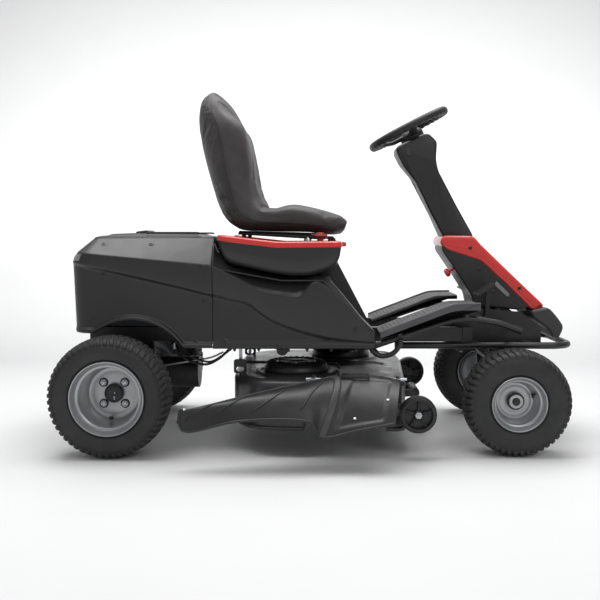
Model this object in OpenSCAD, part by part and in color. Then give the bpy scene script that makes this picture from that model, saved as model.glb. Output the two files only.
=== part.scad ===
/* [Wheels and stance] */
// Distance between the rear and front axle centres
wheelbase = 1327; // [1290:1:1400]
// Radius of the rear tyres
rear_tyre_r = 197.5; // [185:0.5:205]
// Section width of the rear tyres
rear_tyre_w = 150; // [130:1:156]
// Overall width over the rear tyres
rear_outer_w = 900; // [890:1:960]
// Radius of the front tyres
front_tyre_r = 174.7; // [160:0.1:178]
// Section width of the front tyres
front_tyre_w = 130; // [110:1:134]
// Overall width over the front tyres
front_outer_w = 792; // [785:1:860]
// Flange radius of the rear rims
rear_rim_r = 121; // [112:1:126]
// Flange radius of the front rims
front_rim_r = 90; // [84:1:96]

/* [Bodywork] */
// Overall width of the body panels
body_w = 680; // [660:1:700]
// Wall thickness of the moulded covers
wall = 4; // [3:0.5:5]
// Width of the rear lid
lid_w = 480; // [420:1:500]
// Width of each storage pod beside the seat
pod_w = 130; // [110:1:135]
// Width of the lower steering housing
dash_w = 190; // [180:1:200]

/* [Seat] */
// Width of the seat
seat_w = 470; // [420:1:500]
// Height of the seat top above the ground
seat_top = 1232; // [1210:1:1250]

/* [Steering] */
// Outer diameter of the steering wheel
wheel_d = 308; // [290:1:350]
// Thickness of the steering wheel rim
wheel_rim_d = 28; // [24:1:34]
// Tilt of the steering column from vertical
column_tilt = 27; // [26.5:0.5:28]
// Radius of the steering shaft
column_shaft_r = 8; // [7:0.5:10]
// Length of the steering arms and of the sector's crank
steer_arm = 70; // [60:1:76]
// Radius of the kingpins and front stub axles
kingpin_r = 10; // [9:0.5:11]
// Sideways place of each kingpin
kingpin_y = 245; // [240:1:256]

/* [Mower deck] */
// Overall width of the deck shell
deck_w = 800; // [770:1:820]
// Top of the deck shell with the deck raised
deck_top = 250; // [240:1:256]
// Height of the deck shell
deck_h = 160; // [145:1:165]
// Length of each blade
blade_len = 390; // [340:1:392]
// Radius of the gauge wheels
gauge_r = 60; // [50:1:66]
// Length of the lift arms
lift_arm = 150; // [140:1:155]

/* [Chassis] */
// Outer width over the frame rails
rails_w = 350; // [340:1:360]
// Radius of the bumper tube
bumper_r = 12; // [10:0.5:14]
// Radius of the rear axle shafts
axle_r = 12.5; // [11:0.5:14]
// Radius of the hitch pin hole
hitch_r = 10; // [8:0.5:12]
// Reach of the discharge chute from the centreline
chute_reach = 575; // [565:1:600]

/* [Hidden] */
$fn = 96;
run_fit = 0.05;      // radial clearance of every running fit
gap = 1;             // clearance between pieces that only pass each other
tiny = 0.01;
over = 2;            // how far a cut runs past a face

// Overall place: the origin is the middle of the machine's box, on the ground
bumper_front = wheelbase + 238;
x_mid = (bumper_front - rear_tyre_r) / 2;
y_mid = (rear_outer_w / 2 - chute_reach) / 2;
front_x = wheelbase;

// Moves a side profile that is measured from the front axle
function ahead(points) = [for (p = points) [front_x + p[0], p[1]]];
// Unit direction from a to b
function unit(a, b) = (b - a) / norm(b - a);
// A convex outline, listed counter-clockwise, moved inwards by d
function inset(pts, d) = [for (i = [0:len(pts) - 1])
    let (n = len(pts), u = unit(pts[(i + n - 1) % n], pts[i]), v = unit(pts[i], pts[(i + 1) % n]),
         m = [-u[1] - v[1], u[0] + v[0]])
    pts[i] + d * m / (1 + u * v)];

module at_axle() translate([-x_mid, -y_mid, 0]) children();
module mirrored(left) mirror([0, left ? 1 : 0, 0]) children();
module both_sides() { children(); mirror([0, 1, 0]) children(); }
module block(x, y, z) translate([x[0], y[0], z[0]]) cube([x[1] - x[0], y[1] - y[0], z[1] - z[0]]);
module side_slab(points, y) translate([0, y[1], 0]) rotate([90, 0, 0])
    linear_extrude(y[1] - y[0]) polygon(points);
module rod_y(x, z, y, r) translate([x, y[1], z]) rotate([90, 0, 0]) cylinder(h = y[1] - y[0], r = r);
module rod_x(y, z, x, r) translate([x[0], y, z]) rotate([0, 90, 0]) cylinder(h = x[1] - x[0], r = r);
module rod_z(x, y, z, r) translate([x, y, z[0]]) cylinder(h = z[1] - z[0], r = r);
module ring_y(x, z, y, profile) translate([x, y, z]) rotate([90, 0, 0]) rotate_extrude() polygon(profile);

// ---- wheels ----
rear_wheel_y = rear_outer_w / 2 - rear_tyre_w / 2;
front_wheel_y = front_outer_w / 2 - front_tyre_w / 2;
bead_drop = 17;                 // the bead seat lies this far inside the flange edge
flange_h = bead_drop + 2;        // the sidewall stays inside the rim's flange up to here
tyre_wall = 9;
rim_wall = 3;
disc_t = 6;
hub_face_y = rear_wheel_y - 52; // outer face of the wheel disc, well inside the rim
lug_pcd = 100;
lug_r = 6;
hub_flange_r = 66;
cap_r = 31;
front_hub_r = 24;

// Tyre section: bead, sidewall bulge, rounded shoulder and nearly flat crown
function tyre_profile(r, bead, w) = [
    [bead, -w * 0.40], [bead + flange_h, -w * 0.41], [bead + flange_h + 11, -w * 0.475],
    [(r + bead) / 2, -w / 2], [r - 16, -w * 0.46],
    [r - 5, -w * 0.38], [r, -w * 0.26], [r, w * 0.26], [r - 5, w * 0.38], [r - 16, w * 0.46],
    [(r + bead) / 2, w / 2], [bead + flange_h + 11, w * 0.475],
    [bead + flange_h, w * 0.41], [bead, w * 0.40],
    [bead, w * 0.40 - tyre_wall], [bead + flange_h, w * 0.41 - tyre_wall],
    [(r + bead) / 2, w / 2 - tyre_wall], [r - 24, w * 0.40], [r - tyre_wall - 4, w * 0.26],
    [r - tyre_wall - 4, -w * 0.26], [r - 24, -w * 0.40], [(r + bead) / 2, tyre_wall - w / 2],
    [bead + flange_h, tyre_wall - w * 0.41], [bead, tyre_wall - w * 0.40]];

module tyre(x, y, r, w, rim_r) ring_y(x, r, y, tyre_profile(r, rim_r - bead_drop, w));

// Rim barrel with two flanges and a deeper well between the bead seats
module rim_barrel(x, y, r, w, rim_r) {
    seat = rim_r - bead_drop - tiny;
    edge = w * 0.40;
    ring_y(x, r, y, [[seat, -edge - 1], [rim_r, -edge - 7], [rim_r, -edge - 10],
        [seat - rim_wall, -edge - 4],
        [seat - rim_wall, -edge + 18], [seat - 14, -edge + 30], [seat - 14, edge - 30],
        [seat - rim_wall, edge - 18], [seat - rim_wall, edge + 4], [rim_r, edge + 10], [rim_r, edge + 7],
        [seat, edge + 1], [seat, edge - 18], [seat - 11, edge - 30], [seat - 11, -edge + 30],
        [seat, -edge + 18]]);
}

module rear_tyre(left) color("#2b2b2c") at_axle() mirrored(left)
    tyre(0, -rear_wheel_y, rear_tyre_r, rear_tyre_w, rear_rim_r);

module rear_rim(left) color("#a9abad") at_axle() mirrored(left) difference() {
    union() {
        rim_barrel(0, -rear_wheel_y, rear_tyre_r, rear_tyre_w, rear_rim_r);
        rod_y(0, rear_tyre_r, [-hub_face_y, -hub_face_y + disc_t], rear_rim_r - bead_drop - 2);
    }
    rod_y(0, rear_tyre_r, [-hub_face_y - over, -hub_face_y + disc_t + over], cap_r - 6 + run_fit);
    lug_places() rod_y(0, rear_tyre_r, [-hub_face_y - over, -hub_face_y + disc_t + over], lug_r + run_fit);
}

module lug_places() for (a = [45:90:315])
    translate([lug_pcd / 2 * cos(a), 0, lug_pcd / 2 * sin(a)]) children();

// Axle shaft, mounting flange, pilot ring and four studs with their nuts
axle_in = 120;
module rear_hub(left) color("#77797c") at_axle() mirrored(left) {
    rod_y(0, rear_tyre_r, [-hub_face_y + disc_t, -axle_in], axle_r);
    rod_y(0, rear_tyre_r, [-hub_face_y + disc_t, -hub_face_y + disc_t + 10], hub_flange_r);
    difference() {
        rod_y(0, rear_tyre_r, [-hub_face_y, -hub_face_y + disc_t + 1], cap_r - 6);
        rod_y(0, rear_tyre_r, [-hub_face_y - over, -hub_face_y + disc_t - 1], cap_r - 10);
    }
    lug_places() {
        rod_y(0, rear_tyre_r, [-hub_face_y - 14, -hub_face_y + disc_t + 1], lug_r);
        translate([0, -hub_face_y, rear_tyre_r]) rotate([90, 0, 0]) cylinder(h = 10, r = 11, $fn = 6);
    }
}

module hub_cap(left) color("#1d1d1e") at_axle() mirrored(left) difference() {
    union() {
        rod_y(0, rear_tyre_r, [-hub_face_y - 18, -hub_face_y], cap_r);
        rod_y(0, rear_tyre_r, [-hub_face_y - 22, -hub_face_y - 18], cap_r - 4);
    }
    rod_y(0, rear_tyre_r, [-hub_face_y - 14, -hub_face_y + over], cap_r - 4);
}

module front_tyre(left) color("#2b2b2c") at_axle() mirrored(left)
    tyre(front_x, -front_wheel_y, front_tyre_r, front_tyre_w, front_rim_r);

front_disc_y = front_wheel_y - 14;
module front_rim(left) color("#a9abad") at_axle() mirrored(left) difference() {
    union() {
        rim_barrel(front_x, -front_wheel_y, front_tyre_r, front_tyre_w, front_rim_r);
        rod_y(front_x, front_tyre_r, [-front_disc_y, -front_disc_y + disc_t], front_rim_r - bead_drop - 12);
        rod_y(front_x, front_tyre_r, [-front_disc_y - 20, -front_disc_y + 40], front_hub_r);
    }
    rod_y(front_x, front_tyre_r, [-front_disc_y - 20 - over, -front_disc_y + 40 + over],
          kingpin_r + run_fit);
}

// ---- front axle and steering ----
axle_pivot_z = 290;
beam_half = 22;
beam_z = [268, 312];
boss_z = [232, 312];
boss_r = 18;
arm_z = [316, 324];
arm_end_r = 15;
arm_pin_r = 6;
open_pin_fit = 0.3;              // the right-hand tie rod pin closes the linkage, so it has play
centre_pin_fit = 3;              // and the sector's crank pin lets the axle tilt
tie_rod_z = 302;
tie_rod_r = 8;
pinion_r = 16;                   // pitch radius
steer_ratio = 6;
pinion_pins = 8;
pin_r = 2.75;
groove_play = 0.9;
column_slope = tan(column_tilt);
wheel_x = front_x - 326;         // centre of the steering wheel's rim
wheel_z = 1101;
joint_z = 411;                   // centre of the column's lower joint
pinion_x = wheel_x + (wheel_z - joint_z) * column_slope;
sector_r = pinion_r * steer_ratio;
sector_x = pinion_x - (sector_r - pinion_r);
sector_z = [358, 364];
sector_shaft_r = 12;
crank_x = sector_x - steer_arm;
arm_x = front_x - steer_arm;
plate_z = [344, 350];            // lower cross plate of the front frame
top_plate_z = [380, 386];
pivot_pin_r = 10;
frame_side_y = 125;
frame_side_t = 4;

module front_axle() color("#1e1e20") at_axle() difference() {
    union() {
        block([front_x - beam_half, front_x + beam_half], [-kingpin_y, kingpin_y], beam_z);
        both_sides() rod_z(front_x, kingpin_y, boss_z, boss_r);
    }
    both_sides() rod_z(front_x, kingpin_y, [boss_z[0] - over, boss_z[1] + over], kingpin_r + run_fit);
    rod_x(0, axle_pivot_z, [front_x - beam_half - over, front_x + beam_half + over], pivot_pin_r + run_fit);
}

// Kingpin, stub axle, stub block and steering arm
stub_out = front_disc_y + 24;
module spindle(left) color("#2a2a2c") at_axle() mirrored(left) {
    difference() {
        union() {
            rod_z(front_x, -kingpin_y, [front_tyre_r - 16, arm_z[1]], kingpin_r);
            rod_z(front_x, -kingpin_y, [front_tyre_r - 18, boss_z[0] - gap], boss_r - 1);
            rod_y(front_x, front_tyre_r, [-stub_out, -kingpin_y], kingpin_r);
            rod_y(front_x, front_tyre_r, [-front_disc_y + 40 + gap, -kingpin_y], kingpin_r + 6);
            rod_z(front_x, -kingpin_y, arm_z, boss_r - 1);
            rod_z(arm_x, -kingpin_y, arm_z, arm_end_r);
            block([arm_x, front_x], [-kingpin_y - 12, -kingpin_y + 12], arm_z);
        }
        rod_z(arm_x, -kingpin_y, [arm_z[0] - over, arm_z[1] + over],
              arm_pin_r + (left ? run_fit : open_pin_fit));
    }
}

module tie_rod() color("#3a3a3d") at_axle() difference() {
    union() {
        rod_y(arm_x, tie_rod_z, [-kingpin_y + 3, kingpin_y - 3], tie_rod_r);
        both_sides() rod_z(arm_x, kingpin_y, [tie_rod_z - tie_rod_r - 2, arm_z[0] - gap], arm_end_r - 3);
        both_sides() rod_z(arm_x, kingpin_y, [tie_rod_z, arm_z[1] + 4], arm_pin_r);
        block([crank_x, arm_x], [-16, 16], [tie_rod_z - 4, tie_rod_z + 4]);
        rod_z(crank_x, 0, [tie_rod_z - 4, tie_rod_z + 4], 16);
    }
    rod_z(crank_x, 0, [tie_rod_z - 10, tie_rod_z + 10], arm_pin_r + centre_pin_fit);
}

// Sector plate with an internal row of grooves, its pivot shaft and the crank below the cross plate
slot_half = 47;
plate_half = 56;
plate_r = sector_r + 16;
slot_in = sector_r - pinion_r - pinion_r - pin_r - 2;
tip_depth = 4;
tip_r = sector_r - tip_depth;
pie = [for (a = [-1, -0.5, 0, 0.5, 1]) (plate_r + 20) * [cos(a * plate_half), sin(a * plate_half)]];
slot_pie = [for (a = [-1, -0.5, 0, 0.5, 1]) (plate_r + 20) * [cos(a * slot_half), sin(a * slot_half)]];
groove_pitch = 360 / (pinion_pins * steer_ratio);
module steering_sector() color("#8b8d90") at_axle() translate([sector_x, 0, 0]) {
    difference() {
        union() {
            intersection() {
                rod_z(0, 0, sector_z, plate_r);
                translate([0, 0, sector_z[0]]) linear_extrude(sector_z[1] - sector_z[0])
                    polygon(concat([[-10, 0]], pie));
            }
            rod_z(0, 0, sector_z, 30);
        }
        intersection() {
            translate([0, 0, sector_z[0] - over]) difference() {
                cylinder(h = sector_z[1] - sector_z[0] + 2 * over, r = tip_r);
                cylinder(h = sector_z[1] - sector_z[0] + 2 * over, r = slot_in);
            }
            translate([0, 0, sector_z[0] - over]) linear_extrude(sector_z[1] - sector_z[0] + 2 * over)
                polygon(concat([[0, 0]], slot_pie));
        }
        for (i = [-5:5]) rotate([0, 0, i * groove_pitch]) {
            rod_z(sector_r, 0, [sector_z[0] - over, sector_z[1] + over], pin_r + groove_play);
            block([tip_r - 3, sector_r], [-pin_r - groove_play, pin_r + groove_play],
                  [sector_z[0] - over, sector_z[1] + over]);
        }
    }
    rod_z(0, 0, [arm_z[0], sector_z[1] + 6], sector_shaft_r);
    rod_z(0, 0, arm_z, 18);
    rod_z(-steer_arm, 0, arm_z, arm_end_r);
    block([-steer_arm, 0], [-12, 12], arm_z);
    rod_z(-steer_arm, 0, [tie_rod_z - 10, arm_z[1]], arm_pin_r);
}

// Upright pinion shaft: a star of eight pins below, and the cup of the lower joint on top
ball_r = 15;
cup_r = 21;
pinion_shaft_r = 9;
module pinion_shaft() color("#8b8d90") at_axle() translate([pinion_x, 0, 0]) difference() {
    union() {
        rod_z(0, 0, [plate_z[0] + gap, joint_z - 14], pinion_shaft_r);
        rod_z(0, 0, [sector_z[0] - 2, sector_z[1] + 2], pinion_r - tip_depth - gap);
        for (a = [0:360 / pinion_pins:359]) rotate([0, 0, a]) {
            rod_z(pinion_r, 0, [sector_z[0] - 2, sector_z[1] + 2], pin_r);
            block([0, pinion_r], [-1.6, 1.6], [sector_z[0] - 2, sector_z[1] + 2]);
        }
        intersection() {
            translate([0, 0, joint_z]) sphere(r = cup_r);
            block([-cup_r, cup_r], [-cup_r, cup_r], [joint_z - cup_r, joint_z + 2]);
        }
    }
    translate([0, 0, joint_z]) sphere(r = ball_r + 0.3);
}

module along_column() translate([wheel_x, 0, wheel_z]) rotate([0, -column_tilt, 0]) children();
column_len = (wheel_z - joint_z) / cos(column_tilt);
hub_r = 42;
hub_drop = 30;                  // the wheel's hub lies this far down the column from its rim
module steering_shaft() color("#8b8d90") at_axle() along_column() {
    translate([0, 0, -column_len]) {
        sphere(r = ball_r);
        cylinder(h = column_len - hub_drop - 2, r = column_shaft_r);
    }
}

// Rim, hub and three spokes; the shaft's splined end is held in the hub
spoke_w = 34;
spoke_t = 10;
module steering_wheel() color("#1c1c1d") at_axle() along_column() {
    rim_centre = (wheel_d - wheel_rim_d) / 2;
    rotate_extrude() translate([rim_centre, 0]) circle(d = wheel_rim_d, $fn = 48);
    difference() {
        translate([0, 0, -hub_drop - 28]) cylinder(h = 40, r = hub_r);
        translate([0, 0, -hub_drop - 28 - over]) cylinder(h = 28 + over, r = column_shaft_r);
    }
    intersection() {
        for (a = [90, 180, 270]) rotate([0, 0, a]) {
            block([hub_r - 4, rim_centre], [-spoke_w / 2, spoke_w / 2],
                  [-hub_drop + 4, -hub_drop + 4 + spoke_t]);
            block([rim_centre - 30, rim_centre], [-spoke_w / 2, spoke_w / 2], [-hub_drop + 6, 0]);
        }
        translate([0, 0, -hub_drop]) cylinder(h = hub_drop + 10, r = rim_centre);
    }
}

// ---- chassis ----
rail_z = [352, 402];
rail_t = 25;
rail_y = rails_w / 2;
rail_x = [-120, front_x - 150];
module frame_rails() color("#1b1b1c") at_axle() both_sides()
    block(rail_x, [rail_y - rail_t, rail_y], rail_z);

cross_x = [-90, 330, 1040];     // rear, middle and front cross tubes
cross_w = 40;
mid_x = (front_x - 300) / 2;    // reference station of the deck, a little behind midway
seat_post_x = [400, 680];
seat_deck_z = 672;
rail_in = rail_y - rail_t;
module frame_crossmembers() color("#1b1b1c") at_axle() {
    for (x = cross_x) block([x, x + cross_w], [-rail_in, rail_in], [rail_z[0] + 4, rail_z[1] - 4]);
    both_sides() {
        for (x = seat_post_x) block([x, x + 30], [rail_in, rail_y], [rail_z[1], seat_deck_z - wall]);
        difference() {
            block([lift_x - 22, lift_x + 22], [rail_in, rail_y], [lift_z - 20, rail_z[0]]);
            rod_y(lift_x, lift_z, [rail_in - over, rail_y + over], shaft_r + run_fit);
        }
    }
}

side_plate = ahead([[-167, 350], [-167, 420], [-120, 467], [60, 452], [133, 400], [133, 344], [-140, 344]]);
hanger_t = 6;
module front_frame() color("#19191a") at_axle() {
    both_sides() side_slab(side_plate, [frame_side_y - frame_side_t, frame_side_y]);
    difference() {
        union() {
            block([sector_x - 40, front_x + 60], [-frame_side_y, frame_side_y], plate_z);
            block([pinion_x - 30, pinion_x + 60], [-frame_side_y, frame_side_y], top_plate_z);
        }
        rod_z(pinion_x, 0, [plate_z[0] - over, top_plate_z[1] + over], pinion_shaft_r + run_fit);
        rod_z(sector_x, 0, [plate_z[0] - over, plate_z[1] + over], sector_shaft_r + run_fit);
    }
    for (x = [front_x - beam_half - gap - hanger_t, front_x + beam_half + gap])
        block([x, x + hanger_t], [-40, 40], [axle_pivot_z - 24, plate_z[0]]);
    rod_x(0, axle_pivot_z, [front_x - beam_half - hanger_t - 5, front_x + beam_half + hanger_t + 5],
          pivot_pin_r);
    both_sides() block([rail_x[1], rail_x[1] + 34], [frame_side_y, rail_y], rail_z);
    both_sides() rod_y(pedal_x, pedal_z, [frame_side_y - frame_side_t, frame_side_y + 26], pedal_pin_r);
}

hitch_z = [262, 268];
hitch_x = [-175, -70];
hitch_hole_x = -150;
module hitch_plate() color("#1b1b1c") at_axle() difference() {
    union() {
        block(hitch_x, [-50, 50], hitch_z);
        block([hitch_x[1] - 6, hitch_x[1]], [-rail_y, rail_y], [hitch_z[0], rail_z[0]]);
    }
    rod_z(hitch_hole_x, 0, [hitch_z[0] - over, hitch_z[1] + over], hitch_r);
}

// U-shaped tube: two side runs along the machine and a front run joined by round corners
bumper_y = 180;
bumper_z = 340;
bumper_bend = 70;
bumper_back = front_x - 385;
module front_bumper() color("#161617") at_axle() {
    x0 = bumper_front - bumper_r - bumper_bend;
    both_sides() {
        rod_x(-bumper_y, bumper_z, [bumper_back, x0], bumper_r);
        translate([x0, -bumper_y + bumper_bend, bumper_z]) rotate([0, 0, -90])
            rotate_extrude(angle = 90) translate([bumper_bend, 0]) circle(r = bumper_r, $fn = 48);
        block([front_x - 120, front_x - 90], [-bumper_y, -frame_side_y], [bumper_z + 4, bumper_z + 10]);
        block([front_x + 60, front_x + 90], [-bumper_y, -frame_side_y], [bumper_z + 4, bumper_z + 10]);
        block([bumper_back + 4, bumper_back + 30], [-bumper_y + 2, -rail_in], [bumper_z, rail_z[0]]);
    }
    rod_y(bumper_front - bumper_r, bumper_z, [-bumper_y + bumper_bend, bumper_y - bumper_bend], bumper_r);
}

// Sloping foot platforms with a bent bar under the outer edge
foot_back = front_x - 445;
foot_line = concat([[foot_back, 400]], ahead([[-215, 488], [-120, 492]]));
foot_under = concat(ahead([[-120, 476], [-212, 472]]), [[foot_back, 384]]);
foot_y = [-330, -frame_side_y - gap];
bar_line = ahead([[-470, 360], [-225, 446], [-130, 454], [-40, 436], [20, 412]]);
bar_t = 18;
bar_y = -305;
bar_under = [for (i = [len(bar_line) - 1:-1:0]) bar_line[i] - [0, bar_t]];
foot_posts = ahead([[-380, 388], [-160, 448]]);
post_h = 24;
module footrests() color("#303033") at_axle() both_sides() {
    difference() {
        side_slab(concat(foot_line, foot_under), foot_y);
        block([foot_back - over, rail_x[1] + over], [-rail_y - gap, 0], [rail_z[0], rail_z[1] + gap]);
    }
    side_slab(concat(bar_line, bar_under), [bar_y - bar_t / 2, bar_y + bar_t / 2]);
    for (p = foot_posts) block([p[0] - 8, p[0] + 8], [bar_y - 6, bar_y + 6], [p[1] - bar_t, p[1] + post_h]);
    block([bar_line[4][0] - 16, bar_line[4][0]], [bar_y, -frame_side_y], [400, 408]);
    block([bar_line[0][0], bar_line[0][0] + 16], [bar_y, -rail_y], [352, 360]);
}

// ---- drive ----
housing_y = 95;
tube_end = hub_face_y - disc_t - 10 - 3;
module transaxle() color("#3c3d40") at_axle() difference() {
    union() {
        block([-70, 95], [-housing_y, housing_y], [rear_tyre_r - 68, rear_tyre_r + 62]);
        rod_y(0, rear_tyre_r, [-tube_end, tube_end], axle_r + 12);
        rod_y(0, rear_tyre_r, [-housing_y - 8, housing_y + 8], 66);
        rod_x(0, rear_tyre_r + 20, [95, 240], 58);
        both_sides() block([-40, 40], [rail_in - 5, rail_y], [rear_tyre_r, rail_z[0]]);
    }
    both_sides() rod_y(0, rear_tyre_r, [axle_in - 6, tube_end + over], axle_r + run_fit);
}

pack_x = [-40, 60, 160];
pack_len = 92;
pack_half = 105;
pack_z = [440, 640];
module battery_packs() color("#26282b") at_axle() {
    for (x = pack_x) both_sides() {
        block([x, x + pack_len], [5, 5 + pack_half], [pack_z[0], pack_z[1] - 30]);
        block([x + 10, x + pack_len - 10], [15, pack_half - 5], [pack_z[1] - 30, pack_z[1]]);
    }
    block([pack_x[0] - 8, pack_x[2] + pack_len + 8], [-rail_y, rail_y], [pack_z[0] - 6, pack_z[0]]);
    both_sides() block([pack_x[0] - 8, pack_x[2] + pack_len + 8], [rail_in + 6, rail_y - 6],
                       [rail_z[1], pack_z[0] - 6]);
}

module motor_controller() color("#55585c") at_axle() {
    block([450, 650], [-100, 100], [rail_z[1] + 30, rail_z[1] + 70]);
    for (i = [-5:5]) block([460, 640], [i * 17 - 3, i * 17 + 3], [rail_z[1] + 70, rail_z[1] + 95]);
    block([436, 674], [-rail_y, rail_y], [rail_z[1] + 24, rail_z[1] + 30]);
    both_sides() block([436, 674], [rail_in + 6, rail_y - 6], [rail_z[1], rail_z[1] + 24]);
}

// ---- bodywork ----
side_y = body_w / 2;
body_back = -150;
seam_x = 330;
crease = 645;
top_z = 715;
shoulder_y = lid_w / 2 + 6;
fender_front = 860;
body_low = 345;
arch_x = 62;
arch_z = 285;
arch_r = 172;
arch_back = -72;
rear_top = [[side_y - wall, 200], [side_y, 200], [side_y, crease], [shoulder_y, top_z],
            [shoulder_y, top_z - wall], [side_y - wall, crease - wall]];

// Side and shoulder of the rear body: the cross profile runs lengthwise and the wheel arch is cut out
module rear_fender(left) color("#2e2e30") at_axle() mirrored(!left) intersection() {
    translate([body_back, 0, 0]) rotate([90, 0, 90]) linear_extrude(seam_x - body_back) polygon(rear_top);
    difference() {
        side_slab([[body_back, 600], [body_back + 14, 404], [arch_back, 392], [arch_back, 348],
                   [seam_x, 348], [seam_x, top_z], [-80, top_z], [-128, crease]], [0, side_y + over]);
        rod_y(arch_x, arch_z, [0, side_y + 2 * over], arch_r);
    }
}

mid_side = [[seam_x + gap, body_low], [fender_front, body_low], [fender_front + 8, 400], [716, 573],
            [700, 584], [555, 584], [380, 622], [seam_x + gap, 642]];
module mid_fenders() color("#2e2e30") at_axle() both_sides()
    side_slab(mid_side, [side_y - wall, side_y]);

panel_half = side_y - wall - gap;
panel_front = [[-panel_half, 380], [panel_half, 380], [panel_half, crease - wall - 2],
               [shoulder_y - 4, top_z - wall - 1], [4 - shoulder_y, top_z - wall - 1],
               [-panel_half, crease - wall - 2]];
module rear_panel() color("#2e2e30") at_axle() intersection() {
    side_slab([[body_back, 600], [body_back + 14, 404], [body_back + 18, 404], [body_back + 4, 600],
               [-124, crease], [-80, top_z], [-84, top_z], [-128, crease]], [-panel_half, panel_half]);
    translate([body_back, 0, 0]) rotate([90, 0, 90]) linear_extrude(seam_x - body_back)
        polygon(panel_front);
}

// Cover under the seat: level top, then a slope down between the foot platforms
cover_x = seam_x - 30;
cover_foot = [fender_front, rail_z[1] + 4];
cover_under = [fender_front - 5, rail_z[1] + gap];
side_step = [[cover_x, 620], [cover_x, 616], [345, 608], [555, 570], [690, 570], cover_under,
             cover_foot, [692, 574], [556, 574], [346, 612]];
top_step = [[cover_x, seat_deck_z], [cover_x, 616], [cover_x + wall, 616],
            [cover_x + wall, seat_deck_z - wall],
            [718, seat_deck_z - wall], cover_under, cover_foot, [720, seat_deck_z]];
step_y = rail_y + 3;
lid_hinge_x = 288;
lid_hinge_z = 706;
hinge_rod_r = 4;
lug_y = step_y - 12;
lug_side = [[lid_hinge_x - 7, lid_hinge_z], [lid_hinge_x + 7, lid_hinge_z], [cover_x + wall, 690],
            [cover_x + wall, 650], [cover_x, 650]];
module seat_deck() color("#2a2a2c") at_axle() {
    side_slab(top_step, [-step_y - wall, step_y + wall]);
    both_sides() difference() {
        union() {
            side_slab(lug_side, [lug_y, lug_y + 6]);
            rod_y(lid_hinge_x, lid_hinge_z, [lug_y, lug_y + 6], 8);
        }
        rod_y(lid_hinge_x, lid_hinge_z, [lug_y - over, lug_y + 6 + over], hinge_rod_r + run_fit);
    }
    both_sides() {
        difference() {
            side_slab(side_step, [step_y, panel_half]);
            mirror([0, 1, 0]) block(lever_slot, [-lever_y - 10, -lever_y + 10], [560, 660]);
        }
        side_slab([[cover_x, 616], [345, 606], [555, 570], [690, 570], cover_under, cover_foot,
                   [720, seat_deck_z], [cover_x, seat_deck_z]], [step_y, step_y + wall]);
    }
}

// Storage pods on both sides of the seat, open on top
pod_out = side_y + 5;
pod_in = pod_out - pod_w;
pod_side = [[345, 668], [385, 628], [560, 588], [660, 588], [738, 618], [754, 668], [754, 684],
            [540, 684], [345, 708]];
pod_floor_wall = 5;
lever_y = pod_in + 50;
lift_x = 556;
lift_travel = 65;                // how far the deck goes down
lift_half = asin(lift_travel / 2 / lift_arm);
lift_z = 335;
grip_x = 683;
grip_z = 712;
lever_slot = [490, 690];
module storage_pods() color("#2c2c2e") at_axle() both_sides() difference() {
    side_slab(pod_side, [-pod_out, -pod_in]);
    side_slab([[365, 670], [395, 638], [564, 598], [656, 598], [728, 624], [742, 668], [742, 720],
               [365, 720]], [-pod_out + pod_floor_wall, -pod_in - pod_floor_wall]);
    block(lever_slot, [-lever_y - 10, -lever_y + 10], [560, 660]);
}

trim_side = [[345, 708], [540, 684], [754, 684], [752, 700], [540, 700], [345, 724]];
module pod_trims() color("#c81e22") at_axle() both_sides() difference() {
    side_slab(trim_side, [-pod_out, -pod_in]);
    block([365, 742], [-pod_out + pod_floor_wall + 2, -pod_in - pod_floor_wall - 2], [660, 740]);
}

column_side = ahead([[-206, 717], [-96, 717], [-224, 955], [-231, 1054], [-262, 1084], [-283, 1092],
                     [-300, 1096], [-368, 1034],
                     [-366, 1018], [-304, 912]]);
column_half = 56;
module column_cover() color("#232325") at_axle() difference() {
    side_slab(column_side, [-column_half, column_half]);
    side_slab(ahead([[-201, 700], [-101, 700], [-229, 953], [-236, 1050], [-265, 1075], [-284, 1080],
                     [-300, 1084], [-360, 1030],
                     [-360, 1022], [-298, 912]]), [-column_half + wall, column_half - wall]);
    along_column() translate([0, 0, -hub_drop - 31]) cylinder(h = 200, r = hub_r + 3);
    along_column() block([-120, 120], [-column_half - over, column_half + over], [over - hub_drop, 60]);
}

dash_half = dash_w / 2;
dash_side = ahead([[-206, 711], [-200, 676], [-90, 632], [-28, 575], [88, 458], [60, 456], [-100, 470],
                   [-102, 500], [-214, 668]]);
dash_in = ahead([[-201, 720], [-196, 684], [-92, 638], [-24, 580], [90, 470], [60, 440], [-95, 440],
                 [-97, 502], [-208, 668]]);
knob_z = 600;
back_foot = dash_side[7];
back_top = dash_side[8];
back_slope = (back_top[0] - back_foot[0]) / (back_top[1] - back_foot[1]);
knob_x = back_foot[0] + (knob_z - back_foot[1]) * back_slope;
knob_tilt = 90 + atan2(back_foot[0] - back_top[0], back_top[1] - back_foot[1]);
knob_stem_r = 5;
module dash_cover() color("#262628") at_axle() difference() {
    side_slab(dash_side, [-dash_half, dash_half]);
    side_slab(dash_in, [-dash_half + wall, dash_half - wall]);
    along_column() translate([0, 0, -column_len]) cylinder(h = column_len, r = column_shaft_r + 6);
    translate([knob_x, knob_y, knob_z]) rotate([0, -knob_tilt, 0]) translate([0, 0, -40])
        cylinder(h = 80, r = knob_stem_r + run_fit);
}

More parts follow.
